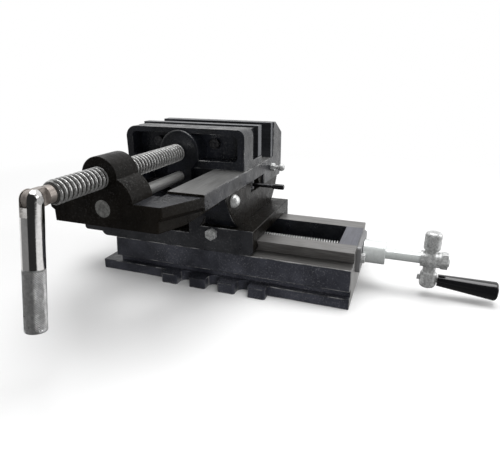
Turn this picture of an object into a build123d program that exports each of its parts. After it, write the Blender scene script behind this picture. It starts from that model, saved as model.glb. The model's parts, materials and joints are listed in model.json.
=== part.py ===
from build123d import *
import math
import os

# A five-inch compound cross-slide vise for a drill press.
# X runs along the long ways of the base, Y along the jaws' travel, Z up.
# The origin is the middle of the base foot, on its underside.

# Fits and clearances
WAY_CLEARANCE = 0.1
TOP_CLEARANCE = 0.4
RUNNING_FIT = 0.1
SEAT_FIT = 0.02
SIDE_GAP = 0.3

# Base foot
FOOT_LENGTH = 254.8
FOOT_WIDTH = 110.8
FOOT_THICKNESS = 10
LUG_REACH = 8.9
LUG_COUNT = 4
LUG_WIDTH = 17.3
LUG_CORNER = 2.5
BOLT_SLOT_WIDTH = 12.7
BOLT_SLOT_DEPTH = 13.4
SOLE_POCKET_DEPTH = 5
SOLE_RIM = 16
SOLE_RIB = 14

# Base body, its ways and its trough
BASE_LEFT_INSET = 18
BASE_BODY_WIDTH = 109.6
BASE_BODY_HEIGHT = 27.1
BASE_DRAFT = 1.7
WAIST_INSET = 5.8
WAIST_HEIGHT = 6.5
LIP_RISE = 1
X_WAY_WIDTH = 88.6
X_WAY_HEIGHT = 11.6
DOVETAIL_ANGLE = 60
X_TROUGH_WIDTH = 49.4
X_TROUGH_DEPTH = 32.7
X_TROUGH_CORNER = 4
RIGHT_WALL = 16.5
LEFT_WALL = 12.4

# Lead screws, their collars and end plates
X_SCREW_DROP = 13.5
Y_SCREW_RISE = 1.2
LEAD_SCREW_RADIUS = 6
JOURNAL_RADIUS = 5
TAIL_RADIUS = 4
Y_SCREW_END_GAP = 4
PLATE_THICKNESS = 3.5
PLATE_HALF_WIDTH = 25
PLATE_CORNER = 3
PLATE_BOLT_SPACING = 19
PLATE_BOLT_RADIUS = 2.5
PLATE_BOLT_GRIP = 9
PLATE_BOLT_HEAD = 8
PLATE_BOLT_HEAD_THICKNESS = 3.6
X_PLATE_RISE = 11.8
X_PLATE_DROP = 13.2
Y_PLATE_RISE = 9
Y_PLATE_DROP = 12
COLLAR_LENGTH = 20
X_COLLAR_RADIUS = 10.8
Y_COLLAR_RADIUS = 8

# Cranks
CRANK_REACH = 63
CRANK_HUB_LENGTH = 17
CRANK_HUB_RADIUS = 8.8
CRANK_HUB_END_RADIUS = 7.2
CRANK_WAIST_RADIUS = 5.6
CRANK_BARREL_RADIUS = 7.3
CRANK_BARREL_ROUND = 3.6
CRANK_GRIP_ARM = 19
CRANK_GRIP_BARREL_LENGTH = 16
CRANK_TOP_ARM = 17.2
CRANK_TOP_BARREL_LENGTH = 18.2
CRANK_NUT_WIDTH = 14
CRANK_NUT_THICKNESS = 6
SCREW_END_SHOWING = 1
GRIP_LENGTH = 49.5
GRIP_STANDOFF = 0.7
GRIP_SMALL_RADIUS = 5.4
GRIP_LARGE_RADIUS = 8.4
GRIP_TILT = 3.4
GRIP_END_ROUND = 2.5
GRIP_COUNTERBORE = 7
GRIP_BOLT_RADIUS = 2.5
GRIP_BOLT_HEAD_RADIUS = 4
GRIP_BOLT_HEAD_THICKNESS = 3
GRIP_BOLT_END_SHOWING = 2.2

# Saddle, placed along the base by VISE_X
VISE_X = -40
SADDLE_RIGHT_REACH = 79.3
SADDLE_LEFT_REACH = 86
SADDLE_FRONT = -55
SADDLE_BACK = 60
SADDLE_WEB = 11.7
SADDLE_CORNER = 6
SADDLE_LUG_REACH = 21
SADDLE_LUG_DEPTH = 30
SADDLE_LUG_RISE = 4
SADDLE_LUG_CORNER = 3
GIB_THICKNESS = 4
X_GIB_SIDE = 1
Y_GIB_SIDE = -1
GIB_END_GAP = 1
Y_WAY_WIDTH = 68
Y_WAY_HEIGHT = 10.7
Y_TROUGH_HALF = 14.5
Y_TROUGH_DEPTH = 8.3
Y_TROUGH_WALL = 10
FRONT_BOLT_OFFSET = 39
FRONT_BOLT_DROP = 6.3
FRONT_BOLT_RADIUS = 3
FRONT_BOLT_HEAD = 10
FRONT_BOLT_HEAD_THICKNESS = 5
FRONT_BOLT_GRIP = 12

# Gib screws and their jam nuts
GIB_SCREW_RADIUS = 2.5
GIB_SCREW_SHOWING = 8
GIB_NUT_WIDTH = 8
GIB_NUT_THICKNESS = 4
X_GIB_SCREW_COUNT = 4
X_GIB_SCREW_PITCH = 40
X_GIB_SCREW_LIFT = 6
Y_GIB_SCREW_COUNT = 4
Y_GIB_SCREW_PITCH = 29
Y_GIB_SCREW_LIFT = 5.5

# Drive nuts under the saddle and under the vise body
NUT_LENGTH = 28
NUT_HALF_WIDTH = 13
NUT_WALL = 3
NUT_FLANGE_LENGTH = 46
NUT_FLANGE_THICKNESS = 6
X_NUT_SCREW_OFFSET = 18.6
X_NUT_SCREW_GRIP = 8
Y_NUT_SCREW_OFFSET = 9.8
Y_NUT_SCREW_GRIP = 14.9
CAP_SCREW_RADIUS = 2.5
CAP_SCREW_HEAD_RADIUS = 4.2
CAP_SCREW_HEAD_HEIGHT = 5

# Flat-headed screws, in the long screw's nut and in the keeper plates
FLAT_SCREW_RADIUS = 2.5
FLAT_HEAD_RADIUS = 5
FLAT_HEAD_THICKNESS = 3

# Vise body: bed, nose and pedestal
BODY_HEIGHT = 49.1
BED_MARGIN = 1
BODY_SIDE_INSET = 2.5
FLANGE_THICKNESS = 13
FRONT_REACH = 153
NOSE_LENGTH = 34
NOSE_HALF_WIDTH = 48
NOSE_CORNER = 2.5
NOSE_STEP = 2
BEAM_THICKNESS = 26
BEAM_DEPTH = 8.4
BEAM_SIDE_INSET = 3
BODY_FRONT = -48
BODY_BACK = 53
BODY_FRONT_OVERHANG = 28
BODY_BACK_OVERHANG = 25
FLANK_SAG = 3
RAIL_RIB_INSET = 10
RAIL_RIB_THICKNESS = 9
RAIL_RIB_DEPTH = 8
SLOT_HALF_WIDTH = 33
SLOT_SETBACK = 2
CHANNEL_UNDERCUT = 9
CHANNEL_DEPTH = 13
PEDESTAL_REACH = 24
PEDESTAL_DEPTH = 11

# Boss for the jaw screw, over the nose
MAIN_SCREW_RISE = 15
MAIN_SCREW_RADIUS = 8
BOSS_RADIUS = 15
BOSS_FLARE = 11
BOSS_SAG = 2.6

# Jaws, their plates and the plates' screws
FIXED_JAW_FACE = 42
JAW_HEIGHT = 37
JAW_PLATE_LENGTH = 127
FIXED_PLATE_THICKNESS = 7.4
FIXED_JAW_STEP = 1
FIXED_TOP_DEPTH = 6
FIXED_BACK_DROP = 13
JAW_SCREW_OFFSET = 30
JAW_SCREW_DROP = 15
JAW_SCREW_RADIUS = 3
JAW_SCREW_HEAD_RADIUS = 5.5
JAW_SCREW_HEAD_THICKNESS = 3
JAW_SCREW_GRIP = 12
MOVABLE_PLATE_THICKNESS = 9.7
PLATE_SCREW_HEAD_RADIUS = 4.8
PLATE_SCREW_HEAD_THICKNESS = 4
PLATE_SCREW_GRIP = 7

# Guide rod under the jaw screw
ROD_DROP = 7.7
ROD_RADIUS = 5
ROD_HEAD_RADIUS = 6.5
ROD_HEAD_LENGTH = 6
ROD_SOCKET_DEPTH = 10

# Lock lever in its pocket on the right side
LOCK_INSET = 10.5
LOCK_Y = -1
LOCK_DROP = 7
LOCK_HUB_RADIUS = 6
LOCK_HUB_HEIGHT = 9
LOCK_STUD_RADIUS = 4
LOCK_LEVER_RADIUS = 1.8
LOCK_LEVER_SHOWING = 27
LOCK_TIP_RADIUS = 2.6
LOCK_TIP_LENGTH = 11
LOCK_POCKET_HALF = 12
LOCK_POCKET_WALL = 3

# Stud and cap bolt on the right side
SIDE_STUD_Y = 42
SIDE_STUD_DROP = 10
SIDE_STUD_SHOWING = 15
SIDE_STUD_GRIP = 12
SIDE_STUD_RADIUS = 1.9
SIDE_STUD_HEAD_RADIUS = 3.8
SIDE_NUT_WIDTH = 7.5
SIDE_NUT_THICKNESS = 4
CAP_BOLT_REACH = 11
CAP_BOLT_DROP = 8
CAP_BOLT_RADIUS = 3
CAP_BOLT_HEAD_RADIUS = 6.2
CAP_BOLT_GRIP = 12

# Movable jaw
JAW_OPENING = 30.3
JAW_RIGHT_MARGIN = 0.8
JAW_LEFT_INSET = 5
JAW_CORE_DEPTH = 16
JAW_CORE_INSET = 4
JAW_CORE_DROP = 1.5
JAW_WALL = 8
JAW_RECESS_DEPTH = 15
JAW_RIM = 6.6
JAW_TOP_RIM = 5
JAW_LEFT_CORNER = 11
JAW_RIGHT_CORNER = 7
JAW_RECESS_CORNER = 5
JAW_LEDGE_HEIGHT = 7.3
JAW_SILL = 0.7
JAW_BOSS_RADIUS = 20.3
JAW_BOSS_ROUND = 2.5
JAW_BOSS_PROUD = 4
JAW_STEM_HALF_WIDTH = 12.5
JAW_STEM_WALL = 7.3
TONGUE_INSET = 4
TONGUE_LENGTH = 28
KEEPER_THICKNESS = 8
KEEPER_REACH = 40.5
KEEPER_SCREW_OFFSET = 23
KEEPER_SCREW_GRIP = 10

# Jaw screw and its folding handle
SPIGOT_RADIUS = 6
RETAINER_RADIUS = 10
RETAINER_THICKNESS = 5
RETAINER_ROOM = 0.5
SPIGOT_END_SHOWING = 2
SCREW_SHOWING = 45
THREAD_CHAMFER = 1.5
NECK_RADIUS = 5.8
NECK_LENGTH = 5
PIVOT_REACH = 14
TANG_THICKNESS = 5
TANG_HALF_HEIGHT = 5.6
HANDLE_RADIUS = 6.8
HANDLE_BELOW_PIVOT = 81
HANDLE_HANG = 9.4
HANDLE_END_ROUND = 1.2
FORK_DEPTH = 10
HANDLE_PIN_RADIUS = 2.5
HANDLE_PIN_INSET = 0.3

# Heights that follow from the sizes above, from the foot up
DOVETAIL_SLOPE = math.tan(math.radians(90 - DOVETAIL_ANGLE))
WAIST_TOP = FOOT_THICKNESS + WAIST_HEIGHT
SHOULDER_HEIGHT = FOOT_THICKNESS + BASE_BODY_HEIGHT
X_WAY_TOP = SHOULDER_HEIGHT + X_WAY_HEIGHT
X_GROOVE_TOP = X_WAY_TOP + TOP_CLEARANCE
X_TROUGH_FLOOR = X_WAY_TOP - X_TROUGH_DEPTH
X_SCREW_HEIGHT = X_WAY_TOP - X_SCREW_DROP
SADDLE_BOTTOM = SHOULDER_HEIGHT + WAY_CLEARANCE
SADDLE_TOP = X_GROOVE_TOP + SADDLE_WEB
Y_WAY_TOP = SADDLE_TOP + Y_WAY_HEIGHT
Y_GROOVE_TOP = Y_WAY_TOP + TOP_CLEARANCE
Y_TROUGH_FLOOR = SADDLE_TOP - Y_TROUGH_DEPTH
Y_SCREW_HEIGHT = SADDLE_TOP + Y_SCREW_RISE
FRONT_BOLT_HEIGHT = SADDLE_TOP - FRONT_BOLT_DROP
BODY_BOTTOM = SADDLE_TOP + WAY_CLEARANCE
BED_TOP = BODY_BOTTOM + BODY_HEIGHT
FLANGE_BOTTOM = BED_TOP - FLANGE_THICKNESS
NOSE_TOP = BED_TOP - NOSE_STEP
BEAM_BOTTOM = FLANGE_BOTTOM - BEAM_DEPTH
CHANNEL_FLOOR = FLANGE_BOTTOM - CHANNEL_DEPTH
PEDESTAL_BOTTOM = FLANGE_BOTTOM - PEDESTAL_DEPTH
MAIN_SCREW_HEIGHT = BED_TOP + MAIN_SCREW_RISE
ROD_HEIGHT = BED_TOP - ROD_DROP
JAW_TOP = BED_TOP + JAW_HEIGHT
FIXED_JAW_TOP = JAW_TOP - FIXED_JAW_STEP
FIXED_BACK_TOP = FIXED_JAW_TOP - FIXED_BACK_DROP
JAW_SCREW_HEIGHT = JAW_TOP - JAW_SCREW_DROP
JAW_BOTTOM = BED_TOP + WAY_CLEARANCE
MOVABLE_PLATE_BOTTOM = BED_TOP + JAW_LEDGE_HEIGHT
JAW_RECESS_BOTTOM = MOVABLE_PLATE_BOTTOM + JAW_SILL
JAW_STEM_BOTTOM = ROD_HEIGHT - ROD_RADIUS - JAW_STEM_WALL
KEEPER_TOP = FLANGE_BOTTOM - SIDE_GAP
KEEPER_BOTTOM = KEEPER_TOP - KEEPER_THICKNESS
LOCK_LEVER_HEIGHT = FLANGE_BOTTOM - LOCK_DROP
LOCK_HUB_BOTTOM = LOCK_LEVER_HEIGHT - LOCK_HUB_HEIGHT / 2
LOCK_FLOOR = LOCK_HUB_BOTTOM - SIDE_GAP
SIDE_STUD_HEIGHT = BED_TOP - SIDE_STUD_DROP
CAP_BOLT_HEIGHT = FLANGE_BOTTOM - CAP_BOLT_DROP

# Places along X
BASE_RIGHT = FOOT_LENGTH / 2
BASE_LEFT = BASE_LEFT_INSET - FOOT_LENGTH / 2
X_TROUGH_LEFT = BASE_LEFT + LEFT_WALL
X_TROUGH_RIGHT = BASE_RIGHT - RIGHT_WALL
SADDLE_RIGHT = VISE_X + SADDLE_RIGHT_REACH
SADDLE_LEFT = VISE_X - SADDLE_LEFT_REACH
BED_HALF_WIDTH = JAW_PLATE_LENGTH / 2 + BED_MARGIN
BODY_HALF_WIDTH = BED_HALF_WIDTH - BODY_SIDE_INSET
BODY_RIGHT = VISE_X + BODY_HALF_WIDTH
BED_RIGHT = VISE_X + BED_HALF_WIDTH
BED_LEFT = VISE_X - BED_HALF_WIDTH
CHANNEL_HALF_WIDTH = SLOT_HALF_WIDTH + CHANNEL_UNDERCUT
PLATE_LEFT = VISE_X - JAW_PLATE_LENGTH / 2
PLATE_RIGHT = VISE_X + JAW_PLATE_LENGTH / 2
JAW_RIGHT = PLATE_RIGHT + JAW_RIGHT_MARGIN
JAW_LEFT = PLATE_LEFT + JAW_LEFT_INSET
LOCK_X = BED_RIGHT - LOCK_INSET
LOCK_TIP_END = BED_RIGHT + LOCK_LEVER_SHOWING

# Places along Y
BACK_FACE = BODY_BACK + BODY_BACK_OVERHANG
FRONT_FACE = -FRONT_REACH
TAPER_START = FRONT_FACE + NOSE_LENGTH
BEAM_BACK = FRONT_FACE + BEAM_THICKNESS
SLOT_BACK = FIXED_JAW_FACE - SLOT_SETBACK
PEDESTAL_FRONT = FIXED_JAW_FACE - PEDESTAL_REACH
FIXED_PLATE_BACK = FIXED_JAW_FACE + FIXED_PLATE_THICKNESS
CAP_BOLT_Y = BODY_FRONT - CAP_BOLT_REACH
MOVABLE_JAW_FACE = FIXED_JAW_FACE - JAW_OPENING
JAW_LEDGE_BACK = MOVABLE_JAW_FACE - SIDE_GAP
JAW_CORE_BACK = MOVABLE_JAW_FACE - MOVABLE_PLATE_THICKNESS
JAW_RIM_BACK = JAW_CORE_BACK - JAW_CORE_DEPTH
JAW_WALL_FRONT = JAW_RIM_BACK - JAW_WALL
JAW_FRONT = JAW_WALL_FRONT - JAW_RECESS_DEPTH
JAW_BOSS_FRONT = JAW_FRONT - JAW_BOSS_PROUD
TONGUE_FRONT = JAW_FRONT + TONGUE_INSET
TONGUE_BACK = TONGUE_FRONT + TONGUE_LENGTH
TONGUE_MIDDLE = (TONGUE_FRONT + TONGUE_BACK) / 2
RETAINER_FRONT = JAW_RIM_BACK + SIDE_GAP
SCREW_SHOULDER = JAW_BOSS_FRONT - SIDE_GAP
THREAD_START = FRONT_FACE - SCREW_SHOWING
PIVOT_Y = THREAD_START - PIVOT_REACH

# Sizes along the lead screws and the crank grip
LEAD_NUT_BORE = LEAD_SCREW_RADIUS + RUNNING_FIT
CRANK_FACE = CRANK_REACH + CRANK_HUB_LENGTH / 2
JOURNAL_END = CRANK_FACE + CRANK_NUT_THICKNESS + SCREW_END_SHOWING
GRIP_START = CRANK_BARREL_RADIUS + GRIP_STANDOFF
GRIP_END = GRIP_START + GRIP_LENGTH
GRIP_BOLT_SEAT = GRIP_END - GRIP_COUNTERBORE + SIDE_GAP

# Each lead screw has its own frame: the screw's axis is Z, and the end plate's seat is at 0.
X_DRIVE = Plane(origin=(BASE_RIGHT, 0, X_SCREW_HEIGHT), x_dir=(0, 1, 0), z_dir=(1, 0, 0))
Y_DRIVE = Plane(origin=(VISE_X, SADDLE_BACK, Y_SCREW_HEIGHT), x_dir=(-1, 0, 0), z_dir=(0, 1, 0))


def box(x0, x1, y0, y1, z0, z1):
    """A block between two opposite corners."""
    middle = Pos((x0 + x1) / 2, (y0 + y1) / 2, (z0 + z1) / 2)
    return middle * Box(x1 - x0, y1 - y0, z1 - z0)


def rod(start, end, radius, end_radius=None):
    """A round bar between two points, tapered if a second radius is given."""
    axis = Vector(end) - Vector(start)
    low = (Align.CENTER, Align.CENTER, Align.MIN)
    if end_radius is None:
        return Plane(origin=start, z_dir=axis) * Cylinder(radius, axis.length, align=low)
    return Plane(origin=start, z_dir=axis) * Cone(radius, end_radius, axis.length, align=low)


def hexagon(start, end, width):
    """A hexagonal bar between two points, by its width across flats."""
    axis = Vector(end) - Vector(start)
    outline = RegularPolygon(width / math.sqrt(3), 6)
    return extrude(Plane(origin=start, z_dir=axis) * outline, axis.length)


def along_x(outline, x0, x1):
    """Carry an outline drawn in Y and Z along X."""
    return extrude(Plane(origin=(x0, 0, 0), x_dir=(0, 1, 0), z_dir=(1, 0, 0)) * outline, x1 - x0)


def along_y(outline, y0, y1):
    """Carry an outline drawn in X and Z along Y."""
    return extrude(Plane(origin=(0, y1, 0), x_dir=(1, 0, 0), z_dir=(0, -1, 0)) * outline, y1 - y0)


def along_z(outline, z0, z1):
    """Carry an outline drawn in X and Y upwards."""
    return extrude(Pos(0, 0, z0) * outline, z1 - z0)


def polygon(*points):
    """A closed outline with straight sides."""
    return make_face(Polyline(*points, close=True))


def rectangle(u0, u1, v0, v1):
    """An upright rectangle between two corners."""
    return Pos((u0 + u1) / 2, (v0 + v1) / 2) * Rectangle(u1 - u0, v1 - v0)


def spread(count, pitch):
    """Evenly spaced offsets either side of zero."""
    return [(index - (count - 1) / 2) * pitch for index in range(count)]


def group(pieces):
    """Identical separate pieces kept together."""
    return Compound(children=[piece.solid() for piece in pieces])


def male_dovetail(centre, width, bottom, height):
    """A way's section, wider at the top."""
    undercut = height * DOVETAIL_SLOPE
    half = width / 2
    return polygon(
        (centre - half + undercut, bottom), (centre + half - undercut, bottom),
        (centre + half, bottom + height), (centre - half, bottom + height))


def female_dovetail(centre, width, bottom, height, gib_side):
    """The groove over a way, with room for a gib on its positive or negative side."""
    undercut = height * DOVETAIL_SLOPE
    extra = TOP_CLEARANCE * DOVETAIL_SLOPE
    plain = -width / 2 - WAY_CLEARANCE
    roomy = width / 2 + WAY_CLEARANCE + GIB_THICKNESS
    top = bottom + height + TOP_CLEARANCE
    return polygon(
        (centre + gib_side * (plain + undercut), bottom),
        (centre + gib_side * (roomy - undercut), bottom),
        (centre + gib_side * (roomy + extra), top),
        (centre + gib_side * (plain - extra), top))


def gib_section(centre, width, bottom, height, gib_side):
    """The sloped strip between a way's flank and the groove's flank."""
    lift = 2 * WAY_CLEARANCE
    rise = (height - 2 * lift) * DOVETAIL_SLOPE
    low = width / 2 + WAY_CLEARANCE - (height - lift) * DOVETAIL_SLOPE
    return polygon(
        (centre + gib_side * low, bottom + lift),
        (centre + gib_side * (low + GIB_THICKNESS), bottom + lift),
        (centre + gib_side * (low + GIB_THICKNESS + rise), bottom + height - lift),
        (centre + gib_side * (low + rise), bottom + height - lift))


def gib_back(centre, width, height, lift, gib_side):
    """Where the gib's far side lies at a height above the shoulder."""
    reach = width / 2 + WAY_CLEARANCE - (height - lift) * DOVETAIL_SLOPE + GIB_THICKNESS
    return centre + gib_side * reach


def foot_outline():
    """The foot's plan: a plate with slotted lugs along both long sides."""
    pitch = LUG_WIDTH + BOLT_SLOT_WIDTH
    edge = FOOT_WIDTH / 2 + LUG_REACH
    outline = Rectangle(FOOT_LENGTH, FOOT_WIDTH)
    for x in spread(LUG_COUNT, pitch):
        lug = Pos(x, 0) * Rectangle(LUG_WIDTH, 2 * edge)
        outline += fillet(lug.vertices(), LUG_CORNER)
    radius = BOLT_SLOT_WIDTH / 2
    slot_end = edge - BOLT_SLOT_DEPTH + radius
    for x in spread(LUG_COUNT - 1, pitch):
        for side in (-1, 1):
            mouth = (slot_end + edge + radius) / 2
            outline -= Pos(x, side * slot_end) * Circle(radius)
            outline -= Pos(x, side * mouth) * Rectangle(BOLT_SLOT_WIDTH, edge + radius - slot_end)
    return outline


def sole_pocket_length():
    """Each relief pocket in the sole runs from the end rim to the rib across the middle."""
    return (FOOT_LENGTH - 2 * SOLE_RIM - SOLE_RIB) / 2


def base_casting():
    part = along_z(foot_outline(), 0, FOOT_THICKNESS)
    pocket = Rectangle(sole_pocket_length(), FOOT_WIDTH - 2 * SOLE_RIM)
    pocket = fillet(pocket.vertices(), SOLE_RIM / 2)
    for x in spread(2, sole_pocket_length() + SOLE_RIB):
        part -= along_z(Pos(x, 0) * pocket, 0, SOLE_POCKET_DEPTH)
    top = BASE_BODY_WIDTH / 2
    lip = top + BASE_DRAFT
    waist = top - WAIST_INSET
    section = polygon(
        (-waist, FOOT_THICKNESS), (-waist, WAIST_TOP), (-lip, WAIST_TOP + LIP_RISE),
        (-top, SHOULDER_HEIGHT), (top, SHOULDER_HEIGHT), (lip, WAIST_TOP + LIP_RISE),
        (waist, WAIST_TOP), (waist, FOOT_THICKNESS))
    part += along_x(section, BASE_LEFT, BASE_RIGHT)
    ways = male_dovetail(0, X_WAY_WIDTH, SHOULDER_HEIGHT, X_WAY_HEIGHT)
    part += along_x(ways, BASE_LEFT, BASE_RIGHT)
    trough = rectangle(X_TROUGH_LEFT, X_TROUGH_RIGHT, -X_TROUGH_WIDTH / 2, X_TROUGH_WIDTH / 2)
    part -= along_z(fillet(trough.vertices(), X_TROUGH_CORNER), X_TROUGH_FLOOR, X_WAY_TOP)
    part -= rod((X_TROUGH_RIGHT, 0, X_SCREW_HEIGHT), (BASE_RIGHT, 0, X_SCREW_HEIGHT),
                JOURNAL_RADIUS + RUNNING_FIT)
    part -= rod((BASE_LEFT, 0, X_SCREW_HEIGHT), (X_TROUGH_LEFT, 0, X_SCREW_HEIGHT),
                TAIL_RADIUS + RUNNING_FIT)
    return part - plate_bolt_holes(X_DRIVE)


def plate_bolt_holes(drive):
    """The two blind holes that an end plate's bolts screw into."""
    holes = Part()
    for u in (-PLATE_BOLT_SPACING, PLATE_BOLT_SPACING):
        holes += drive * rod((u, 0, -PLATE_BOLT_GRIP), (u, 0, 0), PLATE_BOLT_RADIUS + SEAT_FIT)
    return holes


def end_plate(drive, drop, rise):
    outline = rectangle(-PLATE_HALF_WIDTH, PLATE_HALF_WIDTH, -drop, rise)
    outline = fillet(outline.vertices(), PLATE_CORNER)
    outline -= Circle(JOURNAL_RADIUS + RUNNING_FIT)
    for u in (-PLATE_BOLT_SPACING, PLATE_BOLT_SPACING):
        outline -= Pos(u, 0) * Circle(PLATE_BOLT_RADIUS + SEAT_FIT)
    return drive * extrude(outline, PLATE_THICKNESS)


def end_plate_bolts(drive):
    bolts = []
    head_end = PLATE_THICKNESS + PLATE_BOLT_HEAD_THICKNESS
    for u in (-PLATE_BOLT_SPACING, PLATE_BOLT_SPACING):
        bolt = rod((u, 0, -PLATE_BOLT_GRIP), (u, 0, PLATE_THICKNESS), PLATE_BOLT_RADIUS)
        bolt += hexagon((u, 0, PLATE_THICKNESS), (u, 0, head_end), PLATE_BOLT_HEAD)
        bolts.append(drive * bolt)
    return group(bolts)


def x_lead_screw():
    front = -RIGHT_WALL - SIDE_GAP
    back = X_TROUGH_LEFT + SIDE_GAP - BASE_RIGHT
    screw = rod((0, 0, back), (0, 0, front), LEAD_SCREW_RADIUS)
    screw += rod((0, 0, front), (0, 0, JOURNAL_END), JOURNAL_RADIUS)
    screw += rod((0, 0, BASE_LEFT - BASE_RIGHT), (0, 0, back), TAIL_RADIUS)
    return X_DRIVE * screw


def y_lead_screw():
    front = -Y_TROUGH_WALL - SIDE_GAP
    back = SADDLE_FRONT + Y_SCREW_END_GAP - SADDLE_BACK
    screw = rod((0, 0, back), (0, 0, front), LEAD_SCREW_RADIUS)
    screw += rod((0, 0, front), (0, 0, JOURNAL_END), JOURNAL_RADIUS)
    return Y_DRIVE * screw


def collar(drive, radius):
    start = PLATE_THICKNESS + SIDE_GAP
    ring = Circle(radius) - Circle(JOURNAL_RADIUS + SEAT_FIT)
    return drive * extrude(Pos(0, 0, start) * ring, COLLAR_LENGTH)


def grip_axis():
    """The handle's axis: through the lower barrel, tipped outwards from the screw's axis."""
    return Pos(0, -CRANK_GRIP_ARM, CRANK_REACH) * Rot(GRIP_TILT, 0, 0)


def crank_barrel(arm, length):
    """One upright barrel of the lever, its middle an arm's length from the screw's axis."""
    start = (0, arm - length / 2, CRANK_REACH)
    end = (0, arm + length / 2, CRANK_REACH)
    barrel = rod(start, end, CRANK_BARREL_RADIUS)
    return fillet(barrel.edges().filter_by(GeomType.CIRCLE), CRANK_BARREL_ROUND)


def crank_lever(drive):
    """The lever, upright on the end of its screw, with a barrel above and one below."""
    low = (0, -CRANK_GRIP_ARM, CRANK_REACH)
    high = (0, CRANK_TOP_ARM, CRANK_REACH)
    back = (0, 0, CRANK_REACH - CRANK_HUB_LENGTH / 2)
    front = (0, 0, CRANK_FACE)
    hub = Pos(0, 0, CRANK_REACH) * Sphere(CRANK_HUB_RADIUS)
    lever = hub & rod(back, front, CRANK_HUB_RADIUS)
    lever += rod(back, front, CRANK_HUB_END_RADIUS)
    lever += rod(low, high, CRANK_WAIST_RADIUS)
    lever += crank_barrel(-CRANK_GRIP_ARM, CRANK_GRIP_BARREL_LENGTH)
    lever += crank_barrel(CRANK_TOP_ARM, CRANK_TOP_BARREL_LENGTH)
    lever -= rod(back, front, JOURNAL_RADIUS + SEAT_FIT)
    lever -= grip_axis() * rod((0, 0, -GRIP_START), (0, 0, GRIP_START), GRIP_BOLT_RADIUS + SEAT_FIT)
    return drive * lever


def crank_nut(drive):
    face = (0, 0, CRANK_FACE)
    end = (0, 0, CRANK_FACE + CRANK_NUT_THICKNESS)
    return drive * (hexagon(face, end, CRANK_NUT_WIDTH) - rod(face, end, JOURNAL_RADIUS + SEAT_FIT))


def handle_bolt(drive):
    """The shoulder bolt: its head sits in the grip's end, and its tip shows inside the barrel."""
    tip = -CRANK_BARREL_RADIUS - GRIP_BOLT_END_SHOWING
    seat = (0, 0, GRIP_BOLT_SEAT)
    bolt = rod((0, 0, tip), seat, GRIP_BOLT_RADIUS)
    bolt += rod(seat, (0, 0, GRIP_BOLT_SEAT + GRIP_BOLT_HEAD_THICKNESS), GRIP_BOLT_HEAD_RADIUS)
    return drive * (grip_axis() * bolt)


def handle_grip(drive):
    """A tapered round grip, bored for its bolt."""
    shoulder = GRIP_END - GRIP_END_ROUND
    half_profile = Polyline(
        (0, GRIP_START), (GRIP_SMALL_RADIUS, GRIP_START), (GRIP_LARGE_RADIUS, shoulder))
    half_profile += RadiusArc(
        (GRIP_LARGE_RADIUS, shoulder), (GRIP_LARGE_RADIUS - GRIP_END_ROUND, GRIP_END),
        -GRIP_END_ROUND)
    half_profile += Polyline(
        (GRIP_LARGE_RADIUS - GRIP_END_ROUND, GRIP_END), (0, GRIP_END), (0, GRIP_START))
    grip = revolve(Plane.XZ * make_face(half_profile), Axis.Z)
    grip -= rod((0, 0, GRIP_START), (0, 0, GRIP_END), GRIP_BOLT_RADIUS + RUNNING_FIT)
    grip -= rod((0, 0, GRIP_END - GRIP_COUNTERBORE), (0, 0, GRIP_END),
                GRIP_BOLT_HEAD_RADIUS + SIDE_GAP)
    return drive * (grip_axis() * grip)


def saddle_casting():
    slab = rectangle(SADDLE_LEFT, SADDLE_RIGHT, SADDLE_BOTTOM, SADDLE_TOP)
    slab = fillet(slab.vertices().group_by(Axis.Y)[0], SADDLE_CORNER)
    part = along_y(slab, SADDLE_FRONT, SADDLE_BACK)
    lug = rectangle(SADDLE_LEFT - SADDLE_LUG_REACH, SADDLE_LEFT + SADDLE_CORNER,
                    SADDLE_BOTTOM + SADDLE_LUG_RISE, SADDLE_TOP)
    lug = fillet(lug.vertices().group_by(Axis.X)[0], SADDLE_LUG_CORNER)
    part += along_y(lug, SADDLE_FRONT, SADDLE_FRONT + SADDLE_LUG_DEPTH)
    ways = male_dovetail(VISE_X, Y_WAY_WIDTH, SADDLE_TOP, Y_WAY_HEIGHT)
    part += along_y(ways, SADDLE_FRONT, SADDLE_BACK)
    groove = female_dovetail(0, X_WAY_WIDTH, SHOULDER_HEIGHT, X_WAY_HEIGHT, X_GIB_SIDE)
    part -= along_x(groove, SADDLE_LEFT - SADDLE_LUG_REACH, SADDLE_RIGHT)
    trough_end = SADDLE_BACK - Y_TROUGH_WALL
    part -= box(VISE_X - Y_TROUGH_HALF, VISE_X + Y_TROUGH_HALF, SADDLE_FRONT, trough_end,
                Y_TROUGH_FLOOR, Y_WAY_TOP)
    part -= rod((VISE_X, trough_end, Y_SCREW_HEIGHT), (VISE_X, SADDLE_BACK, Y_SCREW_HEIGHT),
                JOURNAL_RADIUS + RUNNING_FIT)
    part -= plate_bolt_holes(Y_DRIVE)
    for start, end in x_gib_screw_lines():
        part -= rod(start, end, GIB_SCREW_RADIUS + SEAT_FIT)
    for x in x_nut_screw_places():
        part -= x_nut_screw(x, SEAT_FIT)
    part -= rod((VISE_X + FRONT_BOLT_OFFSET, SADDLE_FRONT, FRONT_BOLT_HEIGHT),
                (VISE_X + FRONT_BOLT_OFFSET, SADDLE_FRONT + FRONT_BOLT_GRIP, FRONT_BOLT_HEIGHT),
                FRONT_BOLT_RADIUS + SEAT_FIT)
    return part


def saddle_front_bolt():
    x = VISE_X + FRONT_BOLT_OFFSET
    face = (x, SADDLE_FRONT, FRONT_BOLT_HEIGHT)
    bolt = rod(face, (x, SADDLE_FRONT + FRONT_BOLT_GRIP, FRONT_BOLT_HEIGHT), FRONT_BOLT_RADIUS)
    top = (x, SADDLE_FRONT - FRONT_BOLT_HEAD_THICKNESS, FRONT_BOLT_HEIGHT)
    return bolt + hexagon(face, top, FRONT_BOLT_HEAD)


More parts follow.
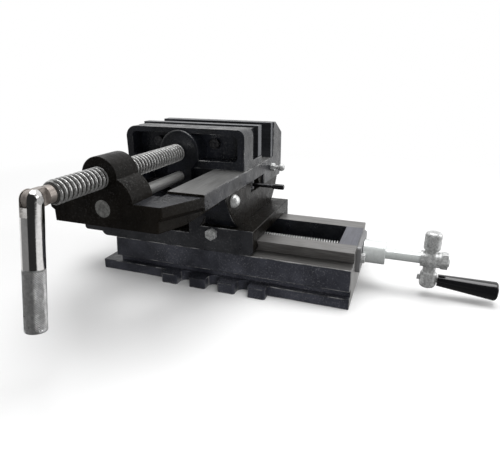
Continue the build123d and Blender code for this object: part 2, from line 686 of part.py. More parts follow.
def x_gib():
    section = gib_section(0, X_WAY_WIDTH, SHOULDER_HEIGHT, X_WAY_HEIGHT, X_GIB_SIDE)
    return along_x(section, SADDLE_LEFT + GIB_END_GAP, SADDLE_RIGHT - GIB_END_GAP)


def x_gib_screw_lines():
    """Each gib screw's axis, from the gib to the saddle's back face."""
    z = SHOULDER_HEIGHT + X_GIB_SCREW_LIFT
    start = gib_back(0, X_WAY_WIDTH, X_WAY_HEIGHT, X_GIB_SCREW_LIFT, X_GIB_SIDE)
    middle = (SADDLE_LEFT + SADDLE_RIGHT) / 2
    return [((middle + x, start, z), (middle + x, SADDLE_BACK, z))
            for x in spread(X_GIB_SCREW_COUNT, X_GIB_SCREW_PITCH)]


def y_gib():
    section = gib_section(VISE_X, Y_WAY_WIDTH, SADDLE_TOP, Y_WAY_HEIGHT, Y_GIB_SIDE)
    return along_y(section, BODY_FRONT + GIB_END_GAP, BODY_BACK - GIB_END_GAP)


def y_gib_screw_lines():
    """Each gib screw's axis, from the gib to the vise body's left side."""
    z = SADDLE_TOP + Y_GIB_SCREW_LIFT
    start = gib_back(VISE_X, Y_WAY_WIDTH, Y_WAY_HEIGHT, Y_GIB_SCREW_LIFT, Y_GIB_SIDE)
    end = VISE_X + Y_GIB_SIDE * BODY_HALF_WIDTH
    middle = (BODY_FRONT + BODY_BACK) / 2
    return [((start, middle + y, z), (end, middle + y, z))
            for y in spread(Y_GIB_SCREW_COUNT, Y_GIB_SCREW_PITCH)]


def gib_screws(lines):
    """Set screws with a flat point, a little short of the gib's sloped side."""
    screws = []
    for start, end in lines:
        out = (Vector(end) - Vector(start)).normalized()
        point = Vector(start) + out * GIB_SCREW_RADIUS * DOVETAIL_SLOPE
        screws.append(rod(point, Vector(end) + out * GIB_SCREW_SHOWING, GIB_SCREW_RADIUS))
    return group(screws)


def gib_nuts(lines):
    nuts = []
    for start, end in lines:
        out = (Vector(end) - Vector(start)).normalized()
        far = Vector(end) + out * GIB_NUT_THICKNESS
        nuts.append(hexagon(end, far, GIB_NUT_WIDTH) - rod(end, far, GIB_SCREW_RADIUS + SEAT_FIT))
    return group(nuts)


def flat_screw(x, y, bottom, top, clearance):
    """A flat-headed screw pointing up, or its countersunk hole with a clearance."""
    neck = bottom + FLAT_HEAD_THICKNESS
    head = rod((x, y, bottom), (x, y, neck), FLAT_HEAD_RADIUS + clearance,
               FLAT_SCREW_RADIUS + clearance)
    return head + rod((x, y, neck), (x, y, top), FLAT_SCREW_RADIUS + clearance)


def x_nut_screw_places():
    return [VISE_X - X_NUT_SCREW_OFFSET, VISE_X + X_NUT_SCREW_OFFSET]


def x_drive_nut():
    """The long screw's nut, hung under the saddle by a flange."""
    half = NUT_LENGTH / 2
    flange_bottom = X_GROOVE_TOP - NUT_FLANGE_THICKNESS
    bottom = X_SCREW_HEIGHT - LEAD_NUT_BORE - NUT_WALL
    nut = box(VISE_X - half, VISE_X + half, -NUT_HALF_WIDTH, NUT_HALF_WIDTH, bottom, X_GROOVE_TOP)
    flange = NUT_FLANGE_LENGTH / 2
    nut += box(VISE_X - flange, VISE_X + flange, -NUT_HALF_WIDTH, NUT_HALF_WIDTH,
               flange_bottom, X_GROOVE_TOP)
    nut -= rod((VISE_X - half, 0, X_SCREW_HEIGHT), (VISE_X + half, 0, X_SCREW_HEIGHT),
               LEAD_NUT_BORE)
    for x in x_nut_screw_places():
        nut -= x_nut_screw(x, SEAT_FIT)
    return nut


def x_nut_screw(x, clearance):
    flange_bottom = X_GROOVE_TOP - NUT_FLANGE_THICKNESS
    return flat_screw(x, 0, flange_bottom, X_GROOVE_TOP + X_NUT_SCREW_GRIP, clearance)


def y_nut_screw_places():
    return [VISE_X - Y_NUT_SCREW_OFFSET, VISE_X + Y_NUT_SCREW_OFFSET]


def y_drive_nut():
    """The cross screw's nut, bolted up against the vise body's groove."""
    half = NUT_LENGTH / 2
    bottom = Y_SCREW_HEIGHT - LEAD_NUT_BORE - NUT_WALL / 2
    nut = box(VISE_X - NUT_HALF_WIDTH, VISE_X + NUT_HALF_WIDTH, -half, half,
              bottom, Y_GROOVE_TOP)
    nut -= rod((VISE_X, -half, Y_SCREW_HEIGHT), (VISE_X, half, Y_SCREW_HEIGHT), LEAD_NUT_BORE)
    for x in y_nut_screw_places():
        nut -= rod((x, 0, Y_GROOVE_TOP - Y_NUT_SCREW_GRIP), (x, 0, Y_GROOVE_TOP),
                   CAP_SCREW_RADIUS + SEAT_FIT)
    return nut


def y_drive_nut_screws():
    screws = []
    seat = CHANNEL_FLOOR - CAP_SCREW_HEAD_HEIGHT
    for x in y_nut_screw_places():
        screw = rod((x, 0, Y_GROOVE_TOP - Y_NUT_SCREW_GRIP), (x, 0, seat), CAP_SCREW_RADIUS)
        screw += rod((x, 0, seat), (x, 0, CHANNEL_FLOOR), CAP_SCREW_HEAD_RADIUS)
        screws.append(screw)
    return group(screws)


def body_side_profile():
    """The vise body from the side, below its flange, with hollow flanks front and back."""
    front_top = (BODY_FRONT - BODY_FRONT_OVERHANG, FLANGE_BOTTOM)
    front_low = (BODY_FRONT, BODY_BOTTOM)
    back_low = (BODY_BACK, BODY_BOTTOM)
    back_top = (BACK_FACE, FLANGE_BOTTOM)
    outline = Polyline(back_top, front_top)
    outline += SagittaArc(front_top, front_low, -FLANK_SAG)
    outline += Line(front_low, back_low)
    outline += SagittaArc(back_low, back_top, -FLANK_SAG)
    return make_face(outline)


def fixed_jaw_profile():
    """The fixed jaw from the side: an upright face, a flat top and a sloped back."""
    return polygon(
        (SLOT_BACK, FLANGE_BOTTOM), (BACK_FACE, FLANGE_BOTTOM), (BACK_FACE, FIXED_BACK_TOP),
        (FIXED_PLATE_BACK + FIXED_TOP_DEPTH, FIXED_JAW_TOP), (FIXED_PLATE_BACK, FIXED_JAW_TOP),
        (FIXED_PLATE_BACK, BED_TOP), (SLOT_BACK, BED_TOP))


def screw_boss_profile():
    """The front boss: round over the screw, flaring into the cross beam."""
    left = VISE_X - BOSS_RADIUS
    right = VISE_X + BOSS_RADIUS
    outline = Line((left - BOSS_FLARE, NOSE_TOP), (right + BOSS_FLARE, NOSE_TOP))
    outline += SagittaArc((right + BOSS_FLARE, NOSE_TOP), (right, MAIN_SCREW_HEIGHT), -BOSS_SAG)
    outline += ThreePointArc((right, MAIN_SCREW_HEIGHT),
                             (VISE_X, MAIN_SCREW_HEIGHT + BOSS_RADIUS), (left, MAIN_SCREW_HEIGHT))
    outline += SagittaArc((left, MAIN_SCREW_HEIGHT), (left - BOSS_FLARE, NOSE_TOP), -BOSS_SAG)
    return make_face(outline)


def taper_half_width(y):
    """Half the front end's width where it narrows towards the front face."""
    share = (TAPER_START - y) / (TAPER_START - FRONT_FACE)
    return BED_HALF_WIDTH + share * (NOSE_HALF_WIDTH - BED_HALF_WIDTH)


def nose_bevel(side):
    """A square bar on edge that cuts the slope under one side of the nose, down to the beam."""
    size = BEAM_SIDE_INSET * math.sqrt(2)
    lean = math.degrees(math.atan2(BED_HALF_WIDTH - NOSE_HALF_WIDTH, NOSE_LENGTH))
    x = VISE_X + side * (BED_HALF_WIDTH + NOSE_HALF_WIDTH) / 2
    y = (TAPER_START + FRONT_FACE) / 2
    bar = Pos(x, y, FLANGE_BOTTOM) * Rot(0, 0, -side * lean) * Rot(0, 45, 0)
    bar *= Box(size, 2 * NOSE_LENGTH, size)
    return bar & box(VISE_X - 2 * BED_HALF_WIDTH, VISE_X + 2 * BED_HALF_WIDTH,
                     FRONT_FACE, TAPER_START, BEAM_BOTTOM, NOSE_TOP)


def front_end():
    """The tapered nose with its lower cross beam and the screw boss."""
    nose = polygon(
        (BED_LEFT, TAPER_START), (VISE_X - NOSE_HALF_WIDTH, FRONT_FACE),
        (VISE_X + NOSE_HALF_WIDTH, FRONT_FACE), (VISE_X + BED_HALF_WIDTH, TAPER_START))
    nose = fillet(nose.vertices().group_by(Axis.Y)[0], NOSE_CORNER)
    part = along_z(nose, FLANGE_BOTTOM, NOSE_TOP) - nose_bevel(-1) - nose_bevel(1)
    front = NOSE_HALF_WIDTH - BEAM_SIDE_INSET
    back = taper_half_width(BEAM_BACK) - 2 * BEAM_SIDE_INSET
    beam = polygon(
        (VISE_X - back, BEAM_BACK), (VISE_X - front, FRONT_FACE),
        (VISE_X + front, FRONT_FACE), (VISE_X + back, BEAM_BACK))
    beam = fillet(beam.vertices().group_by(Axis.Y)[0], NOSE_CORNER)
    part += along_z(beam, BEAM_BOTTOM, FLANGE_BOTTOM)
    return part + along_y(screw_boss_profile(), FRONT_FACE, BEAM_BACK)


def vise_body():
    part = box(BED_LEFT, BED_RIGHT, TAPER_START, SLOT_BACK, FLANGE_BOTTOM, BED_TOP)
    part += front_end()
    profile = body_side_profile()
    part += along_x(profile, VISE_X - BODY_HALF_WIDTH, BODY_RIGHT)
    pedestal = profile & rectangle(PEDESTAL_FRONT, BACK_FACE, PEDESTAL_BOTTOM, FLANGE_BOTTOM)
    part += along_x(pedestal, BED_LEFT, BED_RIGHT)
    part += along_x(fixed_jaw_profile(), BED_LEFT, BED_RIGHT)
    rib_outer = BED_HALF_WIDTH - RAIL_RIB_INSET
    rib_back = BODY_FRONT - BODY_FRONT_OVERHANG / 2
    for side in (-1, 1):
        edges = sorted((side * rib_outer, side * (rib_outer - RAIL_RIB_THICKNESS)))
        part += box(VISE_X + edges[0], VISE_X + edges[1], BEAM_BACK, rib_back,
                    FLANGE_BOTTOM - RAIL_RIB_DEPTH, FLANGE_BOTTOM)
    part -= box(VISE_X - SLOT_HALF_WIDTH, VISE_X + SLOT_HALF_WIDTH, BEAM_BACK, SLOT_BACK,
                FLANGE_BOTTOM, BED_TOP)
    part -= box(VISE_X - CHANNEL_HALF_WIDTH, VISE_X + CHANNEL_HALF_WIDTH, BEAM_BACK,
                SLOT_BACK, CHANNEL_FLOOR, FLANGE_BOTTOM)
    groove = female_dovetail(VISE_X, Y_WAY_WIDTH, SADDLE_TOP, Y_WAY_HEIGHT, Y_GIB_SIDE)
    part -= along_y(groove, BODY_FRONT - BODY_FRONT_OVERHANG, BACK_FACE)
    return part - body_holes()


def body_holes():
    """Every bore, socket and screw hole in the vise body, and the lock lever's pocket."""
    holes = rod((VISE_X, FRONT_FACE, MAIN_SCREW_HEIGHT), (VISE_X, BEAM_BACK, MAIN_SCREW_HEIGHT),
                MAIN_SCREW_RADIUS + RUNNING_FIT)
    holes += rod((VISE_X, FRONT_FACE, ROD_HEIGHT), (VISE_X, SLOT_BACK + ROD_SOCKET_DEPTH, ROD_HEIGHT),
                 ROD_RADIUS + SEAT_FIT)
    holes += rod((VISE_X, FRONT_FACE, ROD_HEIGHT), (VISE_X, FRONT_FACE + ROD_HEAD_LENGTH, ROD_HEIGHT),
                 ROD_HEAD_RADIUS + SEAT_FIT)
    holes += box(VISE_X + CHANNEL_HALF_WIDTH + LOCK_POCKET_WALL, BED_RIGHT,
                 LOCK_Y - LOCK_POCKET_HALF, LOCK_Y + LOCK_POCKET_HALF, LOCK_FLOOR, FLANGE_BOTTOM)
    holes += rod((LOCK_X, LOCK_Y, BODY_BOTTOM), (LOCK_X, LOCK_Y, LOCK_FLOOR),
                 LOCK_STUD_RADIUS + RUNNING_FIT)
    holes += rod((BED_RIGHT - SIDE_STUD_GRIP, SIDE_STUD_Y, SIDE_STUD_HEIGHT),
                 (BED_RIGHT, SIDE_STUD_Y, SIDE_STUD_HEIGHT), SIDE_STUD_RADIUS + SEAT_FIT)
    holes += rod((BODY_RIGHT - CAP_BOLT_GRIP, CAP_BOLT_Y, CAP_BOLT_HEIGHT),
                 (BODY_RIGHT, CAP_BOLT_Y, CAP_BOLT_HEIGHT), CAP_BOLT_RADIUS + SEAT_FIT)
    for start, end in y_gib_screw_lines():
        holes += rod(start, end, GIB_SCREW_RADIUS + SEAT_FIT)
    for x in y_nut_screw_places():
        seat = CHANNEL_FLOOR - CAP_SCREW_HEAD_HEIGHT
        holes += rod((x, 0, Y_GROOVE_TOP), (x, 0, seat), CAP_SCREW_RADIUS + SEAT_FIT)
        holes += rod((x, 0, seat), (x, 0, CHANNEL_FLOOR), CAP_SCREW_HEAD_RADIUS + SEAT_FIT)
    for x in jaw_screw_places():
        holes += rod((x, FIXED_PLATE_BACK, JAW_SCREW_HEIGHT),
                     (x, FIXED_PLATE_BACK + JAW_SCREW_GRIP, JAW_SCREW_HEIGHT),
                     JAW_SCREW_RADIUS + SEAT_FIT)
    return holes


def jaw_screw_places():
    return [VISE_X - JAW_SCREW_OFFSET, VISE_X + JAW_SCREW_OFFSET]


def fixed_jaw_plate():
    plate = box(PLATE_LEFT, PLATE_RIGHT, FIXED_JAW_FACE, FIXED_PLATE_BACK, BED_TOP, FIXED_JAW_TOP)
    for x in jaw_screw_places():
        face = (x, FIXED_JAW_FACE, JAW_SCREW_HEIGHT)
        neck = (x, FIXED_JAW_FACE + JAW_SCREW_HEAD_THICKNESS, JAW_SCREW_HEIGHT)
        plate -= rod(face, neck, JAW_SCREW_HEAD_RADIUS + SEAT_FIT, JAW_SCREW_RADIUS + SEAT_FIT)
        plate -= rod(neck, (x, FIXED_PLATE_BACK, JAW_SCREW_HEIGHT), JAW_SCREW_RADIUS + SEAT_FIT)
    return plate


def fixed_jaw_screws():
    screws = []
    for x in jaw_screw_places():
        face = (x, FIXED_JAW_FACE, JAW_SCREW_HEIGHT)
        neck = (x, FIXED_JAW_FACE + JAW_SCREW_HEAD_THICKNESS, JAW_SCREW_HEIGHT)
        end = (x, FIXED_PLATE_BACK + JAW_SCREW_GRIP, JAW_SCREW_HEIGHT)
        screws.append(rod(face, neck, JAW_SCREW_HEAD_RADIUS, JAW_SCREW_RADIUS)
                      + rod(neck, end, JAW_SCREW_RADIUS))
    return group(screws)


def guide_rod():
    bar = rod((VISE_X, FRONT_FACE, ROD_HEIGHT), (VISE_X, SLOT_BACK + ROD_SOCKET_DEPTH, ROD_HEIGHT),
              ROD_RADIUS)
    head_end = FRONT_FACE + ROD_HEAD_LENGTH
    return bar + rod((VISE_X, FRONT_FACE, ROD_HEIGHT), (VISE_X, head_end, ROD_HEIGHT),
                     ROD_HEAD_RADIUS)


def side_stud():
    end = BED_RIGHT + SIDE_STUD_SHOWING - SIDE_STUD_HEAD_RADIUS
    stud = rod((BED_RIGHT - SIDE_STUD_GRIP, SIDE_STUD_Y, SIDE_STUD_HEIGHT),
               (end, SIDE_STUD_Y, SIDE_STUD_HEIGHT), SIDE_STUD_RADIUS)
    return stud + Pos(end, SIDE_STUD_Y, SIDE_STUD_HEIGHT) * Sphere(SIDE_STUD_HEAD_RADIUS)


def side_stud_nut():
    face = (BED_RIGHT, SIDE_STUD_Y, SIDE_STUD_HEIGHT)
    far = (BED_RIGHT + SIDE_NUT_THICKNESS, SIDE_STUD_Y, SIDE_STUD_HEIGHT)
    return hexagon(face, far, SIDE_NUT_WIDTH) - rod(face, far, SIDE_STUD_RADIUS + SEAT_FIT)


def side_cap_bolt():
    """A bolt with a domed cap head, screwed into the body's right side."""
    radius = CAP_BOLT_HEAD_RADIUS
    outline = Line((0, 0), (radius, 0)) + CenterArc((0, 0), radius, 0, 90) + Line((0, radius), (0, 0))
    dome = revolve(Plane.XZ * make_face(outline), Axis.Z)
    seat = Plane(origin=(BODY_RIGHT, CAP_BOLT_Y, CAP_BOLT_HEIGHT), z_dir=(1, 0, 0))
    return seat * (dome + rod((0, 0, -CAP_BOLT_GRIP), (0, 0, 0), CAP_BOLT_RADIUS))


def lock_lever():
    """The lock screw, its hub and the thin lever that turns it."""
    hub_bottom = LOCK_HUB_BOTTOM
    lever = rod((LOCK_X, LOCK_Y, BODY_BOTTOM + SIDE_GAP), (LOCK_X, LOCK_Y, hub_bottom),
                LOCK_STUD_RADIUS)
    lever += rod((LOCK_X, LOCK_Y, hub_bottom), (LOCK_X, LOCK_Y, hub_bottom + LOCK_HUB_HEIGHT),
                 LOCK_HUB_RADIUS)
    lever += rod((LOCK_X, LOCK_Y, LOCK_LEVER_HEIGHT),
                 (LOCK_TIP_END - LOCK_TIP_RADIUS, LOCK_Y, LOCK_LEVER_HEIGHT), LOCK_LEVER_RADIUS)
    return lever


def lock_lever_tip():
    start = LOCK_TIP_END - LOCK_TIP_LENGTH
    tip = rod((start, LOCK_Y, LOCK_LEVER_HEIGHT), (LOCK_TIP_END, LOCK_Y, LOCK_LEVER_HEIGHT),
              LOCK_TIP_RADIUS)
    tip = fillet(tip.edges().sort_by(Axis.X)[-1], LOCK_TIP_RADIUS / 2)
    return tip - rod((start, LOCK_Y, LOCK_LEVER_HEIGHT),
                     (LOCK_TIP_END - LOCK_TIP_RADIUS, LOCK_Y, LOCK_LEVER_HEIGHT),
                     LOCK_LEVER_RADIUS + SEAT_FIT)


def jaw_boss():
    """The round boss that holds the screw's end, its front edge rounded."""
    boss = rod((VISE_X, JAW_BOSS_FRONT, MAIN_SCREW_HEIGHT), (VISE_X, JAW_WALL_FRONT, MAIN_SCREW_HEIGHT),
               JAW_BOSS_RADIUS)
    front_edge = boss.edges().filter_by(GeomType.CIRCLE).sort_by(Axis.Y)[0]
    return fillet(front_edge, JAW_BOSS_ROUND)


def movable_jaw():
    face = rectangle(JAW_LEFT, JAW_RIGHT, JAW_BOTTOM, JAW_TOP)
    corners = face.vertices().group_by(Axis.Y)[-1].sort_by(Axis.X)
    face = fillet(corners[0], JAW_LEFT_CORNER)
    right_top = face.vertices().sort_by(Axis.X).group_by(Axis.X)[-1].sort_by(Axis.Y)[-1]
    face = fillet(right_top, JAW_RIGHT_CORNER)
    part = along_y(face, JAW_FRONT, JAW_RIM_BACK)
    part += box(PLATE_LEFT + JAW_CORE_INSET, PLATE_RIGHT - JAW_CORE_INSET,
                JAW_RIM_BACK, JAW_CORE_BACK, JAW_BOTTOM, JAW_TOP - JAW_CORE_DROP)
    part += box(PLATE_LEFT, JAW_RIGHT, JAW_RIM_BACK, JAW_LEDGE_BACK, JAW_BOTTOM,
                MOVABLE_PLATE_BOTTOM)
    pocket = rectangle(JAW_LEFT + JAW_RIM, JAW_RIGHT - JAW_RIM, JAW_RECESS_BOTTOM,
                       JAW_TOP - JAW_TOP_RIM)
    part -= along_y(fillet(pocket.vertices(), JAW_RECESS_CORNER), JAW_FRONT, JAW_WALL_FRONT)
    part += jaw_boss()
    part += box(VISE_X - JAW_STEM_HALF_WIDTH, VISE_X + JAW_STEM_HALF_WIDTH, JAW_BOSS_FRONT,
                JAW_WALL_FRONT, JAW_STEM_BOTTOM, MAIN_SCREW_HEIGHT - MAIN_SCREW_RADIUS)
    tongue_half = SLOT_HALF_WIDTH - SIDE_GAP
    part += box(VISE_X - tongue_half, VISE_X + tongue_half, TONGUE_FRONT, TONGUE_BACK,
                KEEPER_TOP, JAW_BOTTOM)
    part += box(VISE_X - JAW_STEM_HALF_WIDTH, VISE_X + JAW_STEM_HALF_WIDTH, JAW_BOSS_FRONT,
                TONGUE_BACK, JAW_STEM_BOTTOM, KEEPER_TOP)
    part -= rod((VISE_X, JAW_BOSS_FRONT, ROD_HEIGHT), (VISE_X, TONGUE_BACK, ROD_HEIGHT),
                ROD_RADIUS + RUNNING_FIT)
    part -= rod((VISE_X, JAW_BOSS_FRONT, MAIN_SCREW_HEIGHT), (VISE_X, JAW_RIM_BACK, MAIN_SCREW_HEIGHT),
                SPIGOT_RADIUS + RUNNING_FIT)
    part -= rod((VISE_X, JAW_RIM_BACK, MAIN_SCREW_HEIGHT), (VISE_X, JAW_CORE_BACK, MAIN_SCREW_HEIGHT),
                RETAINER_RADIUS + RETAINER_ROOM)
    for x in jaw_screw_places():
        part -= rod((x, JAW_WALL_FRONT, JAW_SCREW_HEIGHT), (x, JAW_CORE_BACK, JAW_SCREW_HEIGHT),
                    JAW_SCREW_RADIUS + SEAT_FIT)
    for x in keeper_screw_places():
        part -= keeper_screw(x, SEAT_FIT)
    return part


def movable_jaw_plate():
    plate = box(PLATE_LEFT, PLATE_RIGHT, JAW_CORE_BACK, MOVABLE_JAW_FACE,
                MOVABLE_PLATE_BOTTOM, JAW_TOP)
    for x in jaw_screw_places():
        plate -= rod((x, JAW_CORE_BACK, JAW_SCREW_HEIGHT),
                     (x, JAW_CORE_BACK + PLATE_SCREW_GRIP, JAW_SCREW_HEIGHT),
                     JAW_SCREW_RADIUS + SEAT_FIT)
    return plate


def movable_jaw_screws():
    screws = []
    for x in jaw_screw_places():
        seat = (x, JAW_WALL_FRONT, JAW_SCREW_HEIGHT)
        head = (x, JAW_WALL_FRONT - PLATE_SCREW_HEAD_THICKNESS, JAW_SCREW_HEIGHT)
        end = (x, JAW_CORE_BACK + PLATE_SCREW_GRIP, JAW_SCREW_HEIGHT)
        screws.append(rod(head, seat, PLATE_SCREW_HEAD_RADIUS) + rod(seat, end, JAW_SCREW_RADIUS))
    return group(screws)


def keeper_screw_places():
    return [VISE_X - KEEPER_SCREW_OFFSET, VISE_X + KEEPER_SCREW_OFFSET]


def keeper_screw(x, clearance):
    return flat_screw(x, TONGUE_MIDDLE, KEEPER_BOTTOM, KEEPER_TOP + KEEPER_SCREW_GRIP, clearance)


def jaw_keeper_plates():
    """Two plates under the tongue that hold the jaw down on the rails."""
    plates = []
    inner = JAW_STEM_HALF_WIDTH + SIDE_GAP
    for side, x in zip((-1, 1), keeper_screw_places()):
        edges = sorted((side * inner, side * KEEPER_REACH))
        plate = box(VISE_X + edges[0], VISE_X + edges[1], TONGUE_FRONT, TONGUE_BACK,
                    KEEPER_BOTTOM, KEEPER_TOP)
        plates.append(plate - keeper_screw(x, SEAT_FIT))
    return group(plates)


def main_screw():
    """The jaw screw: a spigot in the jaw, the threaded length, a neck and a flat tang."""
    z = MAIN_SCREW_HEIGHT
    chamfer_end = THREAD_START + THREAD_CHAMFER
    screw = rod((VISE_X, chamfer_end, z), (VISE_X, SCREW_SHOULDER, z), MAIN_SCREW_RADIUS)
    screw += rod((VISE_X, THREAD_START, z), (VISE_X, chamfer_end, z),
                 MAIN_SCREW_RADIUS - THREAD_CHAMFER, MAIN_SCREW_RADIUS)
    spigot_end = RETAINER_FRONT + RETAINER_THICKNESS + SPIGOT_END_SHOWING
    screw += rod((VISE_X, SCREW_SHOULDER, z), (VISE_X, spigot_end, z), SPIGOT_RADIUS)
    neck_end = THREAD_START - NECK_LENGTH
    screw += rod((VISE_X, neck_end, z), (VISE_X, THREAD_START, z), NECK_RADIUS)
    half = TANG_THICKNESS / 2
    screw += box(VISE_X - half, VISE_X + half, PIVOT_Y, neck_end,
                 z - TANG_HALF_HEIGHT, z + TANG_HALF_HEIGHT)
    left = (VISE_X - half, PIVOT_Y, z)
    right = (VISE_X + half, PIVOT_Y, z)
    screw += rod(left, right, TANG_HALF_HEIGHT)
    return screw - rod(left, right, HANDLE_PIN_RADIUS + RUNNING_FIT)


def screw_retainer():
    """The ring that keeps the screw's spigot in the movable jaw."""
    front = (VISE_X, RETAINER_FRONT, MAIN_SCREW_HEIGHT)
    back = (VISE_X, RETAINER_FRONT + RETAINER_THICKNESS, MAIN_SCREW_HEIGHT)
    return rod(front, back, RETAINER_RADIUS) - rod(front, back, SPIGOT_RADIUS + SEAT_FIT)


def handle_place():
    """The handle's own frame: its pivot at the origin, hanging down and a little forwards."""
    return Pos(VISE_X, PIVOT_Y, MAIN_SCREW_HEIGHT) * Rot(-HANDLE_HANG, 0, 0)


def handle_bar():
    """The folding handle: a bar whose forked top straddles the screw's tang."""
    bar = rod((0, 0, -HANDLE_BELOW_PIVOT), (0, 0, 0), HANDLE_RADIUS)
    bar = fillet(bar.edges().sort_by(Axis.Z)[0], HANDLE_END_ROUND)
    bar += Sphere(HANDLE_RADIUS)
    half = TANG_THICKNESS / 2 + SIDE_GAP
    bar -= box(-half, half, -HANDLE_RADIUS, HANDLE_RADIUS, -FORK_DEPTH, HANDLE_RADIUS)
    pin_half = HANDLE_RADIUS
    bar -= rod((-pin_half, 0, 0), (pin_half, 0, 0), HANDLE_PIN_RADIUS + SEAT_FIT)
    return handle_place() * bar


def handle_pin():
    half = HANDLE_RADIUS - HANDLE_PIN_INSET
    return handle_place() * rod((-half, 0, 0), (half, 0, 0), HANDLE_PIN_RADIUS)


PARTS = {
    "base_casting": base_casting(),
    "x_end_plate": end_plate(X_DRIVE, X_PLATE_DROP, X_PLATE_RISE),
    "x_end_plate_bolts": end_plate_bolts(X_DRIVE),
    "x_lead_screw": x_lead_screw(),
    "x_collar": collar(X_DRIVE, X_COLLAR_RADIUS),
    "x_crank_lever": crank_lever(X_DRIVE),
    "x_crank_nut": crank_nut(X_DRIVE),
    "x_handle_bolt": handle_bolt(X_DRIVE),
    "x_handle_grip": handle_grip(X_DRIVE),
    "saddle_casting": saddle_casting(),
    "saddle_front_bolt": saddle_front_bolt(),
    "x_gib": x_gib(),
    "x_gib_screws": gib_screws(x_gib_screw_lines()),
    "x_gib_nuts": gib_nuts(x_gib_screw_lines()),
    "x_drive_nut": x_drive_nut(),
    "x_drive_nut_screws": group([x_nut_screw(x, 0) for x in x_nut_screw_places()]),
    "y_end_plate": end_plate(Y_DRIVE, Y_PLATE_DROP, Y_PLATE_RISE),
    "y_end_plate_bolts": end_plate_bolts(Y_DRIVE),
    "y_lead_screw": y_lead_screw(),
    "y_collar": collar(Y_DRIVE, Y_COLLAR_RADIUS),
    "y_crank_lever": crank_lever(Y_DRIVE),
    "y_crank_nut": crank_nut(Y_DRIVE),
    "y_handle_bolt": handle_bolt(Y_DRIVE),
    "y_handle_grip": handle_grip(Y_DRIVE),
    "vise_body": vise_body(),
    "fixed_jaw_plate": fixed_jaw_plate(),
    "fixed_jaw_screws": fixed_jaw_screws(),
    "y_gib": y_gib(),
    "y_gib_screws": gib_screws(y_gib_screw_lines()),
    "y_gib_nuts": gib_nuts(y_gib_screw_lines()),
    "y_drive_nut": y_drive_nut(),
    "y_drive_nut_screws": y_drive_nut_screws(),
    "guide_rod": guide_rod(),
    "side_stud": side_stud(),
    "side_stud_nut": side_stud_nut(),
    "side_cap_bolt": side_cap_bolt(),
    "lock_lever": lock_lever(),
    "lock_lever_tip": lock_lever_tip(),
    "movable_jaw": movable_jaw(),
    "movable_jaw_plate": movable_jaw_plate(),
    "movable_jaw_screws": movable_jaw_screws(),
    "jaw_keeper_plates": jaw_keeper_plates(),
    "jaw_keeper_screws": group([keeper_screw(x, 0) for x in keeper_screw_places()]),
    "main_screw": main_screw(),
    "screw_retainer": screw_retainer(),
    "handle_bar": handle_bar(),
    "handle_pin": handle_pin(),
}

os.makedirs("parts", exist_ok=True)
for name, shape in PARTS.items():
    export_step(shape, f"parts/{name}.step")
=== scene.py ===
import json
import math

import bmesh
import bpy
from mathutils import Matrix, Vector


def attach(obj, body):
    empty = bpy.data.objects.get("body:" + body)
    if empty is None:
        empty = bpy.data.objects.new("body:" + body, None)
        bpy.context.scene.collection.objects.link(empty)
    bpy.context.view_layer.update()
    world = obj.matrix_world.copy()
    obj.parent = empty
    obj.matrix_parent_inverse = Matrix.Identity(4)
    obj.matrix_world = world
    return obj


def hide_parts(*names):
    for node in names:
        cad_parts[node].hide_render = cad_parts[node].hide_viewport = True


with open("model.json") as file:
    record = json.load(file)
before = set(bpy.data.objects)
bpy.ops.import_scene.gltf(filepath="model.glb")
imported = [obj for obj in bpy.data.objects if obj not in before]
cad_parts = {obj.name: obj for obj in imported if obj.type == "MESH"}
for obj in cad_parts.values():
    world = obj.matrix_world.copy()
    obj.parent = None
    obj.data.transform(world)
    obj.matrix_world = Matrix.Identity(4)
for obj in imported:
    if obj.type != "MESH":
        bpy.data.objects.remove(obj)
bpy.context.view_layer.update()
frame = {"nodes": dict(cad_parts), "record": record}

MM = 0.001

# Places and sizes repeated from the solids, in millimetres
VISE_X = -40.0
FOOT_END = 127.4
TROUGH_FLOOR = 16.0
TROUGH_HALF = 24.7
TROUGH_END = 110.9
SHOULDER = 37.1
SADDLE_BOTTOM = 37.2
SADDLE_TOP = 60.8
SADDLE_WAY_TOP = 71.5
BODY_SLOT_HALF = 40.0
FLANGE_BOTTOM = 97.0
NOSE_TOP = 108.0
BED_TOP = 110.0
TAPER_START = -119.0
LEVER_POCKET = ((13, 24.4), (-13, 11), (84, 97))
X_SCREW_Z = 35.2
Y_SCREW_Z = 62.0
MAIN_SCREW_Z = 125.0
X_THREAD = (-96.6, 110.55)
Y_THREAD = (-51.0, 49.65)
MAIN_THREAD = (-198.0, -41.3)
PIVOT_Y = -212.0
HANDLE_HANG = math.radians(9.4)
HANDLE_LENGTH = 81.0
HANDLE_RADIUS = 6.8
HANDLE_END_ROUND = 1.2

# How far the middle of a face may lie off the plane that the face is known by, and a wider
# allowance where a rounded edge lies beside that plane
SLACK = 0.2
MARGIN = 1.0

# How far a face's normal turns towards an axis where it faces that way, or faces it squarely
FACING = 0.5
SQUARELY = 0.9

X_AXIS, Y_AXIS = 0, 1


def link(obj):
    bpy.context.scene.collection.objects.link(obj)
    return obj


